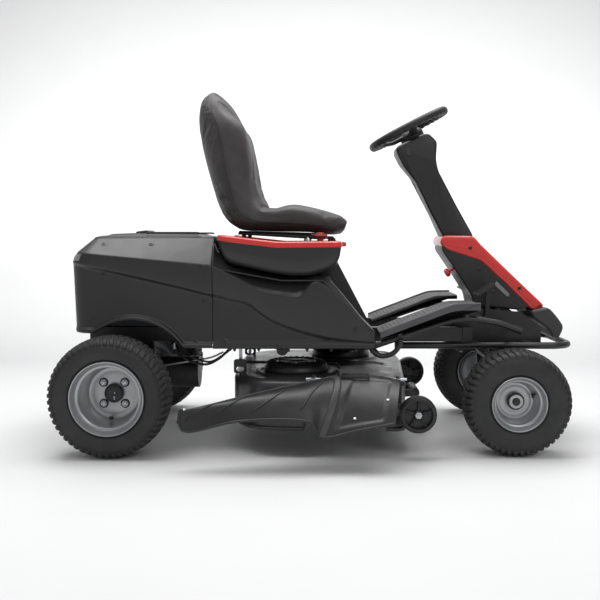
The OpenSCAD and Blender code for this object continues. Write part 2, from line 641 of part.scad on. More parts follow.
cowl_side = ahead([[-222, 717], [-98, 717], [-82, 692], [150, 468], [135, 455], [96, 455], [-24, 577],
                   [-90, 635], [-200, 679], [-202, 690]]);
cowl_in = ahead([[-214, 712], [-100, 712], [-86, 688], [142, 462], [96, 440], [-30, 560],
                 [-95, 620], [-214, 668]]);
module front_cowl() color("#cc2024") at_axle() difference() {
    side_slab(cowl_side, [-dash_half - 6, dash_half + 6]);
    side_slab(cowl_in, [-dash_half - 1, dash_half + 1]);
    along_column() translate([0, 0, -column_len]) cylinder(h = column_len, r = column_shaft_r + 6);
}

nose_half = 120;
nose_side = ahead([[97, 454], [156, 454], [162, 462], [225, 395],
                   [205, 356], [185, 356], [150, 400], [100, 430]]);
nose_in = ahead([[104, 448], [150, 448], [158, 452], [216, 395],
                 [205, 340], [190, 340], [152, 404], [104, 434]]);
module nose_cover() color("#303033") at_axle() difference() {
    side_slab(nose_side, [-nose_half, nose_half]);
    side_slab(nose_in, [-nose_half + wall, nose_half - wall]);
}

// Tail lamps on the rear panel and headlamps on the flanks of the steering housing
module lamps() color("#d8d8d0") at_axle() both_sides() {
    side_slab([[body_back - 7, 606], [body_back + 2.8, 606], [-131, 639], [-138, 645]],
              [-side_y + 20, -shoulder_y - 14]);
    side_slab(ahead([[-20, 560], [30, 512], [20, 500], [-30, 545]]), [-dash_half - 5, -dash_half]);
}

lid_back = -78;
module rear_lid() color("#333336") at_axle() {
    block([lid_back, lid_hinge_x], [-lid_w / 2, lid_w / 2], [top_z, top_z + wall]);
    both_sides() block([lid_back, lid_hinge_x], [-lid_w / 2, -lid_w / 2 + wall], [top_z - 16, top_z]);
    block([lid_back, lid_back + wall], [-lid_w / 2, lid_w / 2], [top_z - 6, top_z]);
    rod_y(lid_hinge_x, lid_hinge_z, [wall - lid_w / 2, lid_w / 2 - wall], hinge_rod_r);
    both_sides() rod_y(lid_hinge_x, lid_hinge_z, [-lid_w / 2, -lid_w / 2 + wall], 7);
    both_sides() block([30, lid_hinge_x - 10], [-190, -184], [top_z + wall, top_z + wall + 6]);
    block([20, 66], [-60, 60], [top_z + wall, top_z + wall + 10]);
}

// ---- seat ----
seat_side = [[396, 738], [630, 732], [735, 720], [762, 734], [779, 768], [770, 785], [717, 797],
             [645, 826], [583, 837], [521, 812], [494, 822], [454, 866], [447, 907], [447, 963],
             [436, 1044], [405, 1116], [366, 1147], [340, 1210], [310, seat_top], [284, 1222],
             [262, 1165], [282, 1079], [303, 963], [331, 865], [352, 791]];
seat_front = [[-150, 700], [150, 700], [seat_w / 2, 750], [seat_w / 2, 940], [seat_w / 2 - 20, 1090],
              [150, 1195], [70, seat_top], [-70, seat_top], [-150, 1195], [20 - seat_w / 2, 1090],
              [-seat_w / 2, 940], [-seat_w / 2, 750]];
module seat_cushion() color("#3a3637") at_axle() intersection() {
    side_slab(seat_side, [-seat_w / 2, seat_w / 2]);
    translate([200, 0, 0]) rotate([90, 0, 90]) linear_extrude(700) polygon(seat_front);
}

seat_pivot_x = 726;
seat_pivot_z = 704;
pan_y = 150;
seat_pin_r = 5;
// Seat pan: ribs under the cushion, and the ears of its front tilt hinge
module seat_pan() color("#19191a") at_axle() difference() {
    union() {
        side_slab([[400, 726], [628, 719], [700, 713], [700, 717], [630, 727], [400, 733]],
                  [-pan_y, pan_y]);
        both_sides() side_slab([[690, 713], [seat_pivot_x - 12, seat_pivot_z],
            [seat_pivot_x - 8, seat_pivot_z - 9],
            [seat_pivot_x + 8, seat_pivot_z - 9], [seat_pivot_x + 12, seat_pivot_z], [728, 716.5],
            [700, 717]], [-pan_y, -pan_y + 8]);
    }
    rod_y(seat_pivot_x, seat_pivot_z, [-pan_y - over, pan_y + over], seat_pin_r + run_fit);
}

// Sliding upper seat frame with the hinge pin, running on the deck's level top
rail_top = seat_deck_z + 18;
rail_span = [395, 740];
module seat_rails() color("#202022") at_axle() {
    both_sides() block(rail_span, [-pan_y + 10, -pan_y + 34], [seat_deck_z + 0.5, rail_top]);
    for (x = [430, 690]) block([x, x + 20], [-pan_y + 34, pan_y - 34], [seat_deck_z + 2, seat_deck_z + 10]);
    both_sides() side_slab([[seat_pivot_x - 14, rail_top - tiny], [seat_pivot_x + 14, rail_top - tiny],
        [seat_pivot_x + 10, seat_pivot_z + 6], [seat_pivot_x - 10, seat_pivot_z + 6]],
        [-pan_y + 10, -pan_y + 18]);
    both_sides() rod_y(seat_pivot_x, seat_pivot_z, [-pan_y - 3, -pan_y + 18], seat_pin_r);
    both_sides() block([410, 424], [-pan_y + 12, -pan_y + 30], [rail_top, 724]);
    rod_z(latch_x, latch_y, [seat_deck_z + 8, rail_top + 8], latch_r);
    block([690, 710], [latch_y - 8, -pan_y + 12], [seat_deck_z + 2, seat_deck_z + 10]);
}

latch_x = 700;
latch_y = -pan_y - 20;
latch_r = 4;
module seat_lever() color("#b51d20") at_axle() difference() {
    union() {
        rod_z(latch_x, latch_y, [seat_deck_z + 11, seat_deck_z + 23], 9);
        rod_x(latch_y, seat_deck_z + 17, [latch_x, 762], 4);
        rod_x(latch_y, seat_deck_z + 17, [740, 772], 7);
    }
    rod_z(latch_x, latch_y, [seat_deck_z + 5, seat_deck_z + 30], latch_r + run_fit);
}

// ---- mower deck ----
spindle_right = [mid_x + 88, -185];
spindle_left = [mid_x + 251, 185];
deck_bottom = deck_top - deck_h;
deck_wall = 3;
deck_half_w = deck_w / 2;
deck_plan = [[mid_x - 125, -240], [mid_x - 50, -370],
             [mid_x + 60, -deck_half_w], [mid_x + 390, -deck_half_w],
             [mid_x + 450, -360], [mid_x + 490, 240], [mid_x + 465, 370], [mid_x + 400, deck_half_w],
             [mid_x + 100, deck_half_w], [mid_x - 60, 360], [mid_x - 130, 250], [mid_x - 138, 60]];
outlet_x = [mid_x + 130, mid_x + 370];
outlet_z = [deck_bottom + 5, deck_top - 20];
gauge_right = [mid_x + 484, -deck_half_w - 5, 146];
gauge_left = [mid_x + 545, deck_half_w + 8, 154];
roller_at = [mid_x + 512, 0, 150];
gauge_half = 20;
gauge_pin_r = 7;
roller_r = 20;
roller_half = 60;
hanger_x = lift_x - lift_arm * cos(lift_half);
hanger_z = lift_z + lift_travel / 2;
hanger_y = rail_y + 22;
hanger_low = 262;
hanger_pin_r = 6;
slot_half_len = 11;
chute_hinge = [mid_x + 130, mid_x + 440];
chute_hinge_y = -deck_half_w - 12;
chute_hinge_z = deck_top + 10;
chute_pin_r = 5;

module deck_shell() color("#38383b") at_axle() {
    difference() {
        translate([0, 0, deck_bottom]) linear_extrude(deck_h) polygon(deck_plan);
        translate([0, 0, deck_bottom - over]) linear_extrude(deck_h - 4 + over)
            polygon(inset(deck_plan, deck_wall));
        block(outlet_x, [-deck_half_w - over, -deck_half_w + 60], outlet_z);
        for (c = [spindle_right, spindle_left]) rod_z(c[0], c[1], [deck_top - 10, deck_top + over], 18);
    }
    gauge_bracket(gauge_right, -1, mid_x + 400);
    gauge_bracket(gauge_left, 1, mid_x + 415);
    both_sides() block([mid_x + 462, roller_at[0] + 14], [roller_half + 3, roller_half + 9],
                       [roller_at[2] - 14, roller_at[2] + 14]);
    rod_y(roller_at[0], roller_at[2], [-roller_half - 9, roller_half + 9], gauge_pin_r);
    both_sides() difference() {
        block([hanger_x - 22, hanger_x + 22], [hanger_y + 7, hanger_y + 12],
              [deck_top - 1, hanger_low + 32]);
        for (s = [-1, 1]) rod_y(hanger_x + s * (slot_half_len - hanger_pin_r), hanger_low,
            [hanger_y, hanger_y + 20], hanger_pin_r + 2.5);
        block([hanger_x - slot_half_len + hanger_pin_r, hanger_x + slot_half_len - hanger_pin_r],
              [hanger_y, hanger_y + 20], [hanger_low - hanger_pin_r - 2.5, hanger_low + hanger_pin_r + 2.5]);
    }
    for (x = [chute_hinge[0] + 10, chute_hinge[1] - 30])
        block([x, x + 16], [chute_hinge_y, -deck_half_w + 20], [deck_top - 2, chute_hinge_z]);
    rod_x(chute_hinge_y, chute_hinge_z, [chute_hinge[0] - 6, chute_hinge[1] + 6], chute_pin_r);
}

// Arm from the deck to a gauge wheel, ending in the wheel's axle bolt
module gauge_bracket(at, side, from_x) {
    y_in = at[1] - side * (gauge_half + 9);
    block([from_x, at[0] + 12], [min(y_in, y_in + side * 6), max(y_in, y_in + side * 6)],
          [at[2] - 12, at[2] + 30]);
    y_out = at[1] + side * (gauge_half + 3);
    rod_y(at[0], at[2], [min(y_in, y_out), max(y_in, y_out)], gauge_pin_r);
}

dome_r = 112;
dome_top = deck_top + 40;
module deck_motors() color("#202022") at_axle() for (c = [spindle_right, spindle_left]) difference() {
    union() {
        rod_z(c[0], c[1], [deck_top, dome_top - 12], dome_r);
        rod_z(c[0], c[1], [dome_top - 12, dome_top], dome_r - 14);
        rod_z(c[0], c[1], [deck_top - 40, deck_top], 17.5);
    }
    rod_z(c[0], c[1], [deck_top - 40 - over, deck_top + 20], blade_shaft_r + run_fit);
}

blade_shaft_r = 9;
blade_z = [deck_bottom + 32, deck_bottom + 37];
blade_w = 58;
module blade(c) color("#8f9194") at_axle() translate([c[0], c[1], 0]) {
    rod_z(0, 0, [blade_z[0] - 8, deck_top + 18], blade_shaft_r);
    rod_z(0, 0, [blade_z[1], blade_z[1] + 30], 30);
    intersection() {
        block([-blade_len / 2, blade_len / 2], [-blade_w / 2, blade_w / 2], blade_z);
        rod_z(0, 0, blade_z, blade_len / 2);
    }
    for (a = [0, 180]) rotate([0, 0, a])
        block([blade_len / 4, blade_len / 2 - 6], [blade_w / 2 - 8, blade_w / 2],
              [blade_z[0], blade_z[1] + 14]);
}

// Chute: ruled sheet from the hinge edge to the flared outer edge
chute_t = 4;
chute_y = -deck_half_w - 30;
chute_inner = [[mid_x + 425, chute_y, 262], [mid_x + 342, chute_y, 274], [mid_x + 244, chute_y, 274],
               [mid_x + 86, chute_y - 45, 250], [mid_x - 64, -chute_reach + 65, 222],
               [mid_x - 181, -chute_reach + 30, 198],
               [mid_x - 250, -chute_reach + 15, 185]];
chute_outer = [[mid_x + 397, -chute_reach, 152], [mid_x + 286, -chute_reach, 130],
               [mid_x + 173, -chute_reach, 107],
               [mid_x + 131, -chute_reach, 162], [mid_x - 70, -chute_reach, 158],
               [mid_x - 229, -chute_reach, 119],
               [mid_x - 262, -chute_reach, 158]];
chute_cols = len(chute_inner);
chute_shift = [0, chute_t, -chute_t];
chute_pts = concat(chute_inner, chute_outer, [for (p = chute_inner) p + chute_shift],
                   [for (p = chute_outer) p + chute_shift]);
n_c = chute_cols;
function quad(a, b, c, d) = [[a, c, b], [a, d, c]];
function quad_under(a, b, c, d) = [[a, b, c], [a, c, d]];
chute_faces = concat(
    [for (i = [0:n_c - 2]) each quad(i, i + 1, n_c + i + 1, n_c + i)],
    [for (i = [0:n_c - 2]) each quad_under(2 * n_c + i, 2 * n_c + i + 1, 3 * n_c + i + 1, 3 * n_c + i)],
    [for (i = [0:n_c - 2]) each quad(i + 1, i, 2 * n_c + i, 2 * n_c + i + 1)],
    [for (i = [0:n_c - 2]) each quad(n_c + i, n_c + i + 1, 3 * n_c + i + 1, 3 * n_c + i)],
    quad(0, n_c, 3 * n_c, 2 * n_c), quad(2 * n_c - 1, n_c - 1, 3 * n_c - 1, 4 * n_c - 1));
module discharge_chute() color("#2f2f31") at_axle() {
    polyhedron(chute_pts, chute_faces);
    difference() {
        union() {
            for (x = [mid_x + 190, mid_x + 330]) {
                rod_x(chute_hinge_y, chute_hinge_z, [x, x + 40], chute_pin_r + 6);
                block([x, x + 40], [chute_y - 6, chute_hinge_y], [chute_hinge_z + 2, chute_hinge_z + 9]);
            }
        }
        rod_x(chute_hinge_y, chute_hinge_z, [mid_x + 180, mid_x + 380], chute_pin_r + run_fit);
    }
}

module gauge_wheel(at) color("#1f1f20") at_axle() difference() {
    ring_y(at[0], at[2], at[1], [[0, -gauge_half], [gauge_r - 8, -gauge_half], [gauge_r, -gauge_half + 7],
        [gauge_r, gauge_half - 7], [gauge_r - 8, gauge_half], [0, gauge_half]]);
    rod_y(at[0], at[2], [at[1] - gauge_half - over, at[1] + gauge_half + over], gauge_pin_r + run_fit);
}

module front_roller() color("#1f1f20") at_axle() difference() {
    rod_y(roller_at[0], roller_at[2], [-roller_half, roller_half], roller_r);
    rod_y(roller_at[0], roller_at[2], [-roller_half - over, roller_half + over], gauge_pin_r + run_fit);
}

// ---- deck lift ----
shaft_r = 10;
module lift_shaft() color("#2b2b2d") at_axle() {
    rod_y(lift_x, lift_z, [-lever_y - 8, hanger_y + 4], shaft_r);
    both_sides() difference() {
        union() {
            translate([lift_x, 0, lift_z]) rotate([0, lift_half, 0])
                block([-lift_arm, 0], [hanger_y - 4, hanger_y + 2], [-13, 13]);
            rod_y(hanger_x, hanger_z, [hanger_y - 4, hanger_y + 2], 14);
        }
        rod_y(hanger_x, hanger_z, [hanger_y - 8, hanger_y + 8], hanger_pin_r + run_fit);
    }
}

module lift_lever() color("#2b2b2d") at_axle() {
    difference() {
        union() {
            side_slab([[lift_x - 14, lift_z + 4], [lift_x + 14, lift_z], [grip_x + 6, grip_z - 30],
                       [grip_x - 8, grip_z - 26]], [-lever_y - 3, -lever_y + 3]);
            rod_y(lift_x, lift_z, [-lever_y - 3, -lever_y + 3], 20);
        }
        rod_y(lift_x, lift_z, [-lever_y - 8, -lever_y + 8], shaft_r);
    }
    translate([grip_x, -lever_y, grip_z - 34]) cylinder(h = 34, r = 9);
    translate([grip_x, -lever_y, grip_z]) cylinder(h = 14, r = 24);
}

module deck_hangers() color("#2b2b2d") at_axle() both_sides() {
    rod_y(hanger_x, hanger_z, [hanger_y - 5, hanger_y + 6], hanger_pin_r);
    rod_y(hanger_x, hanger_low, [hanger_y + 2.5, hanger_y + 15], hanger_pin_r);
    block([hanger_x - 6, hanger_x + 6], [hanger_y + 2.5, hanger_y + 6], [hanger_low, hanger_z]);
}

// ---- controls ----
knob_y = -60;
module blade_knob() color("#b5251f") at_axle() translate([knob_x, knob_y, knob_z])
    rotate([0, -knob_tilt, 0]) {
        translate([0, 0, -25]) cylinder(h = 50, r = knob_stem_r);
        translate([0, 0, 18]) cylinder(h = 14, r = 15);
    }

pedal_x = front_x - 60;
pedal_z = 430;
pedal_pin_r = 6;
module pedal(y0, y1, reach) difference() {
    union() {
        rod_y(pedal_x, pedal_z, [y0, y0 + 14], 13);
        side_slab([[pedal_x - 7, pedal_z + 4], [pedal_x + 7, pedal_z + 4], [pedal_x - reach + 14, 548],
                   [pedal_x - reach, 548]], [y0, y0 + 14]);
        side_slab([[pedal_x - reach - 42, 520], [pedal_x - reach - 38, 514], [pedal_x - reach + 16, 552],
                   [pedal_x - reach + 12, 558]], [y0, y1]);
    }
    rod_y(pedal_x, pedal_z, [y0 - over, y0 + 14 + over], pedal_pin_r + run_fit);
}
module drive_pedal() color("#1c1c1d") at_axle() mirror([0, 1, 0])
    pedal(frame_side_y + 8, frame_side_y + 100, 6);
module brake_pedal() color("#1c1c1d") at_axle() pedal(frame_side_y + 8, frame_side_y + 90, 6);

frame_rails();
frame_crossmembers();
front_frame();
hitch_plate();
front_bumper();
footrests();
rear_fender(false);  // rear_fender_right
rear_fender(true);  // rear_fender_left
mid_fenders();
rear_panel();
seat_deck();
storage_pods();
pod_trims();
battery_packs();
motor_controller();
transaxle();
column_cover();
dash_cover();
front_cowl();
nose_cover();
lamps();
rear_lid();
seat_cushion();
seat_pan();
seat_rails();
seat_lever();
steering_wheel();
steering_shaft();
pinion_shaft();
steering_sector();
tie_rod();
front_axle();
spindle(false);  // spindle_right
spindle(true);  // spindle_left
front_tyre(false);  // front_tyre_right
front_rim(false);  // front_rim_right
front_tyre(true);  // front_tyre_left
front_rim(true);  // front_rim_left
rear_tyre(false);  // rear_tyre_right
rear_rim(false);  // rear_rim_right
rear_hub(false);  // rear_hub_right
hub_cap(false);  // hub_cap_right
rear_tyre(true);  // rear_tyre_left
rear_rim(true);  // rear_rim_left
rear_hub(true);  // rear_hub_left
hub_cap(true);  // hub_cap_left
deck_shell();
deck_motors();
blade(spindle_right);  // blade_right
blade(spindle_left);  // blade_left
discharge_chute();
gauge_wheel(gauge_right);  // gauge_wheel_right
gauge_wheel(gauge_left);  // gauge_wheel_left
front_roller();
lift_shaft();
lift_lever();
deck_hangers();
blade_knob();
drive_pedal();
brake_pedal();
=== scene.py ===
import math
import bpy
import bmesh
import numpy as np
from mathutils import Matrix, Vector
from mathutils.bvhtree import BVHTree


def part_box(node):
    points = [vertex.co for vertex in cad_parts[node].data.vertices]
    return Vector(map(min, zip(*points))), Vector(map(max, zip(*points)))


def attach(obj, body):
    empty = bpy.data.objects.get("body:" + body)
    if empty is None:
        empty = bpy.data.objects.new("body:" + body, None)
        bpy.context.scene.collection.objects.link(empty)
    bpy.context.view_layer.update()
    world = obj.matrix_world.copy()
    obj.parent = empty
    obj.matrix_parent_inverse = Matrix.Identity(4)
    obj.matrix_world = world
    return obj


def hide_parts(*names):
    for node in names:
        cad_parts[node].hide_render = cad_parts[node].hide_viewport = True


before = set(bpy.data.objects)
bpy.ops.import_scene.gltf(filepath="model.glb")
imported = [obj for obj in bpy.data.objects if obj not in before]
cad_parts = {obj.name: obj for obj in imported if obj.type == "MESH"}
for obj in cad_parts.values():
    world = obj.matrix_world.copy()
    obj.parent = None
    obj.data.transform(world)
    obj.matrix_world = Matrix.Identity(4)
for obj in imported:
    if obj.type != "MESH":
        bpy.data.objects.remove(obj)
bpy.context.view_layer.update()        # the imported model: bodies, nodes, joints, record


# ---- places ----
def middleOf(node):
    low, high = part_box(node)
    return (np.array(low) + np.array(high)) / 2


# Pieces are laid out in metres from the ground under the rear axle, x forward and y to the left
machine = np.array([middleOf("rear_tyre_right")[0], middleOf("frame_rails")[1], 0.0])


def lowOf(node):
    return np.array(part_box(node)[0]) - machine


def highOf(node):
    return np.array(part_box(node)[1]) - machine


def sideName(side):
    return "Left" if side > 0 else "Right"


# ---- shapes ----
def throughPoints(knots, count):
    # a Catmull-Rom curve through the knots: each stretch is a cubic of its four nearest knots
    knots = np.asarray(knots, float)
    k = np.concatenate([[2 * knots[0] - knots[1]], knots, [2 * knots[-1] - knots[-2]]])
    t = np.linspace(0, len(knots) - 1 - 1e-9, count)
    i = t.astype(int)
    f = (t - i).reshape((-1,) + (1,) * (knots.ndim - 1))
    a, b, c, d = k[i], k[i + 1], k[i + 2], k[i + 3]
    return 0.5 * (2 * b + (c - a) * f + (2 * a - 5 * b + 4 * c - d) * f**2 + (3 * b - a - 3 * c + d) * f**3)


def rounded(knots, radius, steps=5, loop=False):
    # each corner becomes a quadratic arc between the points a radius before and after it
    knots = np.asarray(knots, float)
    before = np.roll(knots, 1, 0) if loop else np.concatenate([knots[:1], knots[:-1]])
    after = np.roll(knots, -1, 0) if loop else np.concatenate([knots[1:], knots[-1:]])

    def towards(end):
        step = end - knots
        size = np.maximum(np.linalg.norm(step, axis=-1, keepdims=True), 1e-9)
        return knots + step / size * np.minimum(radius, size * 0.48)

    t = np.linspace(0, 1, steps).reshape((1, -1) + (1,) * (knots.ndim - 1))
    a, b, c = towards(before)[:, None], knots[:, None], towards(after)[:, None]
    arcs = (1 - t) ** 2 * a + 2 * t * (1 - t) * b + t**2 * c
    if loop:
        return arcs.reshape((-1,) + knots.shape[1:])
    inner = arcs[1:-1].reshape((-1,) + knots.shape[1:])
    return np.concatenate([knots[:1], inner, knots[-1:]])


def inset(outline, distance):
    # moves each point of a closed outline inwards along the mean of its two edge normals
    before = outline - np.roll(outline, 1, 0)
    after = np.roll(outline, -1, 0) - outline
    turn = np.sum(np.roll(outline, -1, 0)[:, 0] * outline[:, 1] - outline[:, 0] * np.roll(outline, -1, 0)[:,
            1])
    side = 1.0 if turn < 0 else -1.0
    normal = np.stack([-(before + after)[:, 1], (before + after)[:, 0]], -1) * side
    normal /= np.maximum(np.linalg.norm(normal, axis=1, keepdims=True), 1e-9)
    return outline + normal * distance


def gridFaces(rows, cols, wrapCols=False, wrapRows=False):
    r, c = np.meshgrid(np.arange(rows if wrapRows else rows - 1), np.arange(cols if wrapCols else cols - 1),
            indexing="ij")
    nextRow, nextCol = (r + 1) % rows, (c + 1) % cols
    quads = np.stack([r * cols + c, r * cols + nextCol, nextRow * cols + nextCol, nextRow * cols + c], -1)
    return quads.reshape(-1, 4)


def smoothStep(x, low, high):
    t = np.clip((x - low) / (high - low), 0, 1)
    return t * t * (3 - 2 * t)


def makePiece(name, points, faces, body, finish, replaces=(), outward=None, sharp=38):
    mesh = bpy.data.meshes.new(name)
    mesh.from_pydata((np.asarray(points).reshape(-1, 3) + machine).tolist(), [], [list(f) for f in faces])
    return finishMesh(name, mesh, body, finish, replaces, outward, sharp)


def finishMesh(name, mesh, body, finish, replaces, outward, sharp):
    build = bmesh.new()
    build.from_mesh(mesh)
    bmesh.ops.remove_doubles(build, verts=build.verts, dist=2e-6)
    bmesh.ops.recalc_face_normals(build, faces=build.faces)
    if outward is not None:
        total = sum((f.normal * f.calc_area() for f in build.faces), Vector())
        if total.dot(Vector(outward)) < 0:
            bmesh.ops.reverse_faces(build, faces=build.faces)
    build.to_mesh(mesh)
    build.free()
    mesh.polygons.foreach_set("use_smooth", np.ones(len(mesh.polygons), bool))
    mesh.set_sharp_from_angle(angle=math.radians(sharp))
    piece = bpy.data.objects.new(name, mesh)
    bpy.context.scene.collection.objects.link(piece)
    mesh.materials.append(finishes[finish])
    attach(piece, body)
    if replaces:
        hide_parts(*replaces)
    return piece


def addWall(piece, thickness):
    wall = piece.modifiers.new("wall", "SOLIDIFY")
    wall.thickness = thickness
    wall.offset = -1
    return piece


def addBevel(piece, width):
    bevel = piece.modifiers.new("edges", "BEVEL")
    bevel.width = width
    bevel.segments = 2
    bevel.limit_method = "ANGLE"
    bevel.angle_limit = math.radians(32)
    bevel.use_clamp_overlap = True
    bevel.harden_normals = True
    return piece


# A side outline carried across the machine: both cheeks roll over by the given radius.
# half is the half width, or a function of the outline's points that gives it.
def moulded(name, outline, half, roll, body, finish, corner=0.01, middle=0.0, replaces=(), steps=5):
    loop = rounded(outline, corner, 5, loop=True)
    angle = np.linspace(0, math.pi / 2, steps)
    insets = np.concatenate([roll * (1 - np.sin(angle)), roll * (1 - np.sin(angle[::-1]))])
    width = half(loop) if callable(half) else np.full(len(loop), half)
    across = np.concatenate([-1 + 0 * angle, 1 + 0 * angle])
    back = np.concatenate([roll * (1 - np.cos(angle)), -roll * (1 - np.cos(angle[::-1]))])
    rings = [np.column_stack([inset(loop, d)[:, 0], middle + a * width + b, inset(loop, d)[:, 1]])
            for d, a, b in zip(insets, across, back)]
    faces = gridFaces(len(rings), len(loop), wrapCols=True).tolist()
    last = (len(rings) - 1) * len(loop)
    faces += [list(range(len(loop)))[::-1], list(range(last, last + len(loop)))]
    return makePiece(name, np.concatenate(rings), faces, body, finish, replaces)


# A tube: a circle carried along the path, turned so that its first axis stays square to upward
def tube(name, path, radius, body, finish, sides=16, upward=(0, 0, 1), replaces=(), closed=False):
    path = np.asarray(path, float)
    if closed:
        ahead = np.roll(path, -1, 0) - np.roll(path, 1, 0)
    else:
        ahead = np.gradient(path, axis=0)
    ahead /= np.linalg.norm(ahead, axis=1, keepdims=True)
    first = np.cross(ahead, upward)
    first /= np.maximum(np.linalg.norm(first, axis=1, keepdims=True), 1e-9)
    second = np.cross(first, ahead)
    angle = np.linspace(0, 2 * math.pi, sides, endpoint=False)
    size = np.broadcast_to(radius, len(path))[:, None, None]
    ring = first[:, None] * np.cos(angle)[None, :, None] + second[:, None] * np.sin(angle)[None, :, None]
    grid = path[:, None] + ring * size
    faces = gridFaces(len(path), sides, wrapCols=True, wrapRows=closed).tolist()
    if not closed:
        last = (len(path) - 1) * sides
        faces += [list(range(sides)), list(range(last, last + sides))]
    return makePiece(name, grid, faces, body, finish, replaces)


# A turned piece: the profile (radius, distance along the axis) goes once round the axis
def turnedPoints(profile, centre, axis, sides):
    profile = np.asarray(profile, float)
    axis = np.asarray(axis, float) / np.linalg.norm(axis)
    side = np.cross(axis, (0, 0, 1.0) if abs(axis[2]) < 0.9 else (1.0, 0, 0))
    side /= np.linalg.norm(side)
    other = np.cross(axis, side)
    angle = np.linspace(0, 2 * math.pi, sides, endpoint=False)
    round3 = np.cos(angle)[:, None] * side + np.sin(angle)[:, None] * other
    return np.asarray(centre) + profile[:, 0, None, None] * round3[None] + profile[:, 1, None, None] * axis


def turned(name, profile, centre, axis, body, finish, sides=64, loop=False, replaces=(), sharp=38):
    grid = turnedPoints(profile, centre, axis, sides)
    faces = gridFaces(len(grid), sides, wrapCols=True, wrapRows=loop)
    return makePiece(name, grid, faces, body, finish, replaces, sharp=sharp)


# Several closed pieces of the same kind made one mesh
def joined(name, parts):
    bpy.context.view_layer.update()
    keep = parts[0]
    with bpy.context.temp_override(active_object=keep, selected_editable_objects=parts, object=keep,
                                   selected_objects=parts):
        bpy.ops.object.join()
    keep.name = name
    return keep


# A copy of a CAD part, merged and with rounded edges, that stands for it
def softened(node, finish, body, width):
    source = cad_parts[node].data
    mesh = source.copy()
    mesh.name = node
    mesh.materials.clear()
    build = bmesh.new()
    build.from_mesh(mesh)
    bmesh.ops.remove_doubles(build, verts=build.verts, dist=2e-5)
    bmesh.ops.dissolve_limit(build, angle_limit=math.radians(1.0), verts=build.verts, edges=build.edges)
    build.to_mesh(mesh)
    build.free()
    mesh.polygons.foreach_set("use_smooth", np.ones(len(mesh.polygons), bool))
    mesh.set_sharp_from_angle(angle=math.radians(32))
    piece = bpy.data.objects.new(node + "_piece", mesh)
    bpy.context.scene.collection.objects.link(piece)
    mesh.materials.append(finishes[finish])
    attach(piece, body)
    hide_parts(node)
    return addBevel(piece, width)


# ---- finishes ----
def startFinish(name):
    material = bpy.data.materials.new(name)
    material.use_nodes = True
    tree = material.node_tree
    shader = tree.nodes["Principled BSDF"]
    place = tree.nodes.new("ShaderNodeTexCoord")
    return material, tree, shader, place.outputs["Object"]


def addNoise(tree, place, scale, detail=3.0, stretch=(1, 1, 1), roughness=0.5):
    mapping = tree.nodes.new("ShaderNodeMapping")
    mapping.inputs["Scale"].default_value = stretch
    noise = tree.nodes.new("ShaderNodeTexNoise")
    noise.inputs["Scale"].default_value = scale
    noise.inputs["Detail"].default_value = detail
    noise.inputs["Roughness"].default_value = roughness
    tree.links.new(place, mapping.inputs["Vector"])
    tree.links.new(mapping.outputs["Vector"], noise.inputs["Vector"])
    return noise.outputs["Fac"]


def addRange(tree, value, low, high, fromLow=0.3, fromHigh=0.7):
    spread = tree.nodes.new("ShaderNodeMapRange")
    spread.inputs["From Min"].default_value = fromLow
    spread.inputs["From Max"].default_value = fromHigh
    spread.inputs["To Min"].default_value = low
    spread.inputs["To Max"].default_value = high
    tree.links.new(value, spread.inputs["Value"])
    return spread.outputs["Result"]


def addColours(tree, value, dark, light, low=0.3, high=0.7):
    ramp = tree.nodes.new("ShaderNodeValToRGB")
    ramp.color_ramp.elements[0].position = low
    ramp.color_ramp.elements[1].position = high
    ramp.color_ramp.elements[0].color = (*dark, 1)
    ramp.color_ramp.elements[1].color = (*light, 1)
    tree.links.new(value, ramp.inputs["Fac"])
    return ramp.outputs["Color"]


def addBump(tree, height, strength, distance, under=None):
    bump = tree.nodes.new("ShaderNodeBump")
    bump.inputs["Strength"].default_value = strength
    bump.inputs["Distance"].default_value = distance
    tree.links.new(height, bump.inputs["Height"])
    if under is not None:
        tree.links.new(under, bump.inputs["Normal"])
    return bump.outputs["Normal"]


finishes = {}


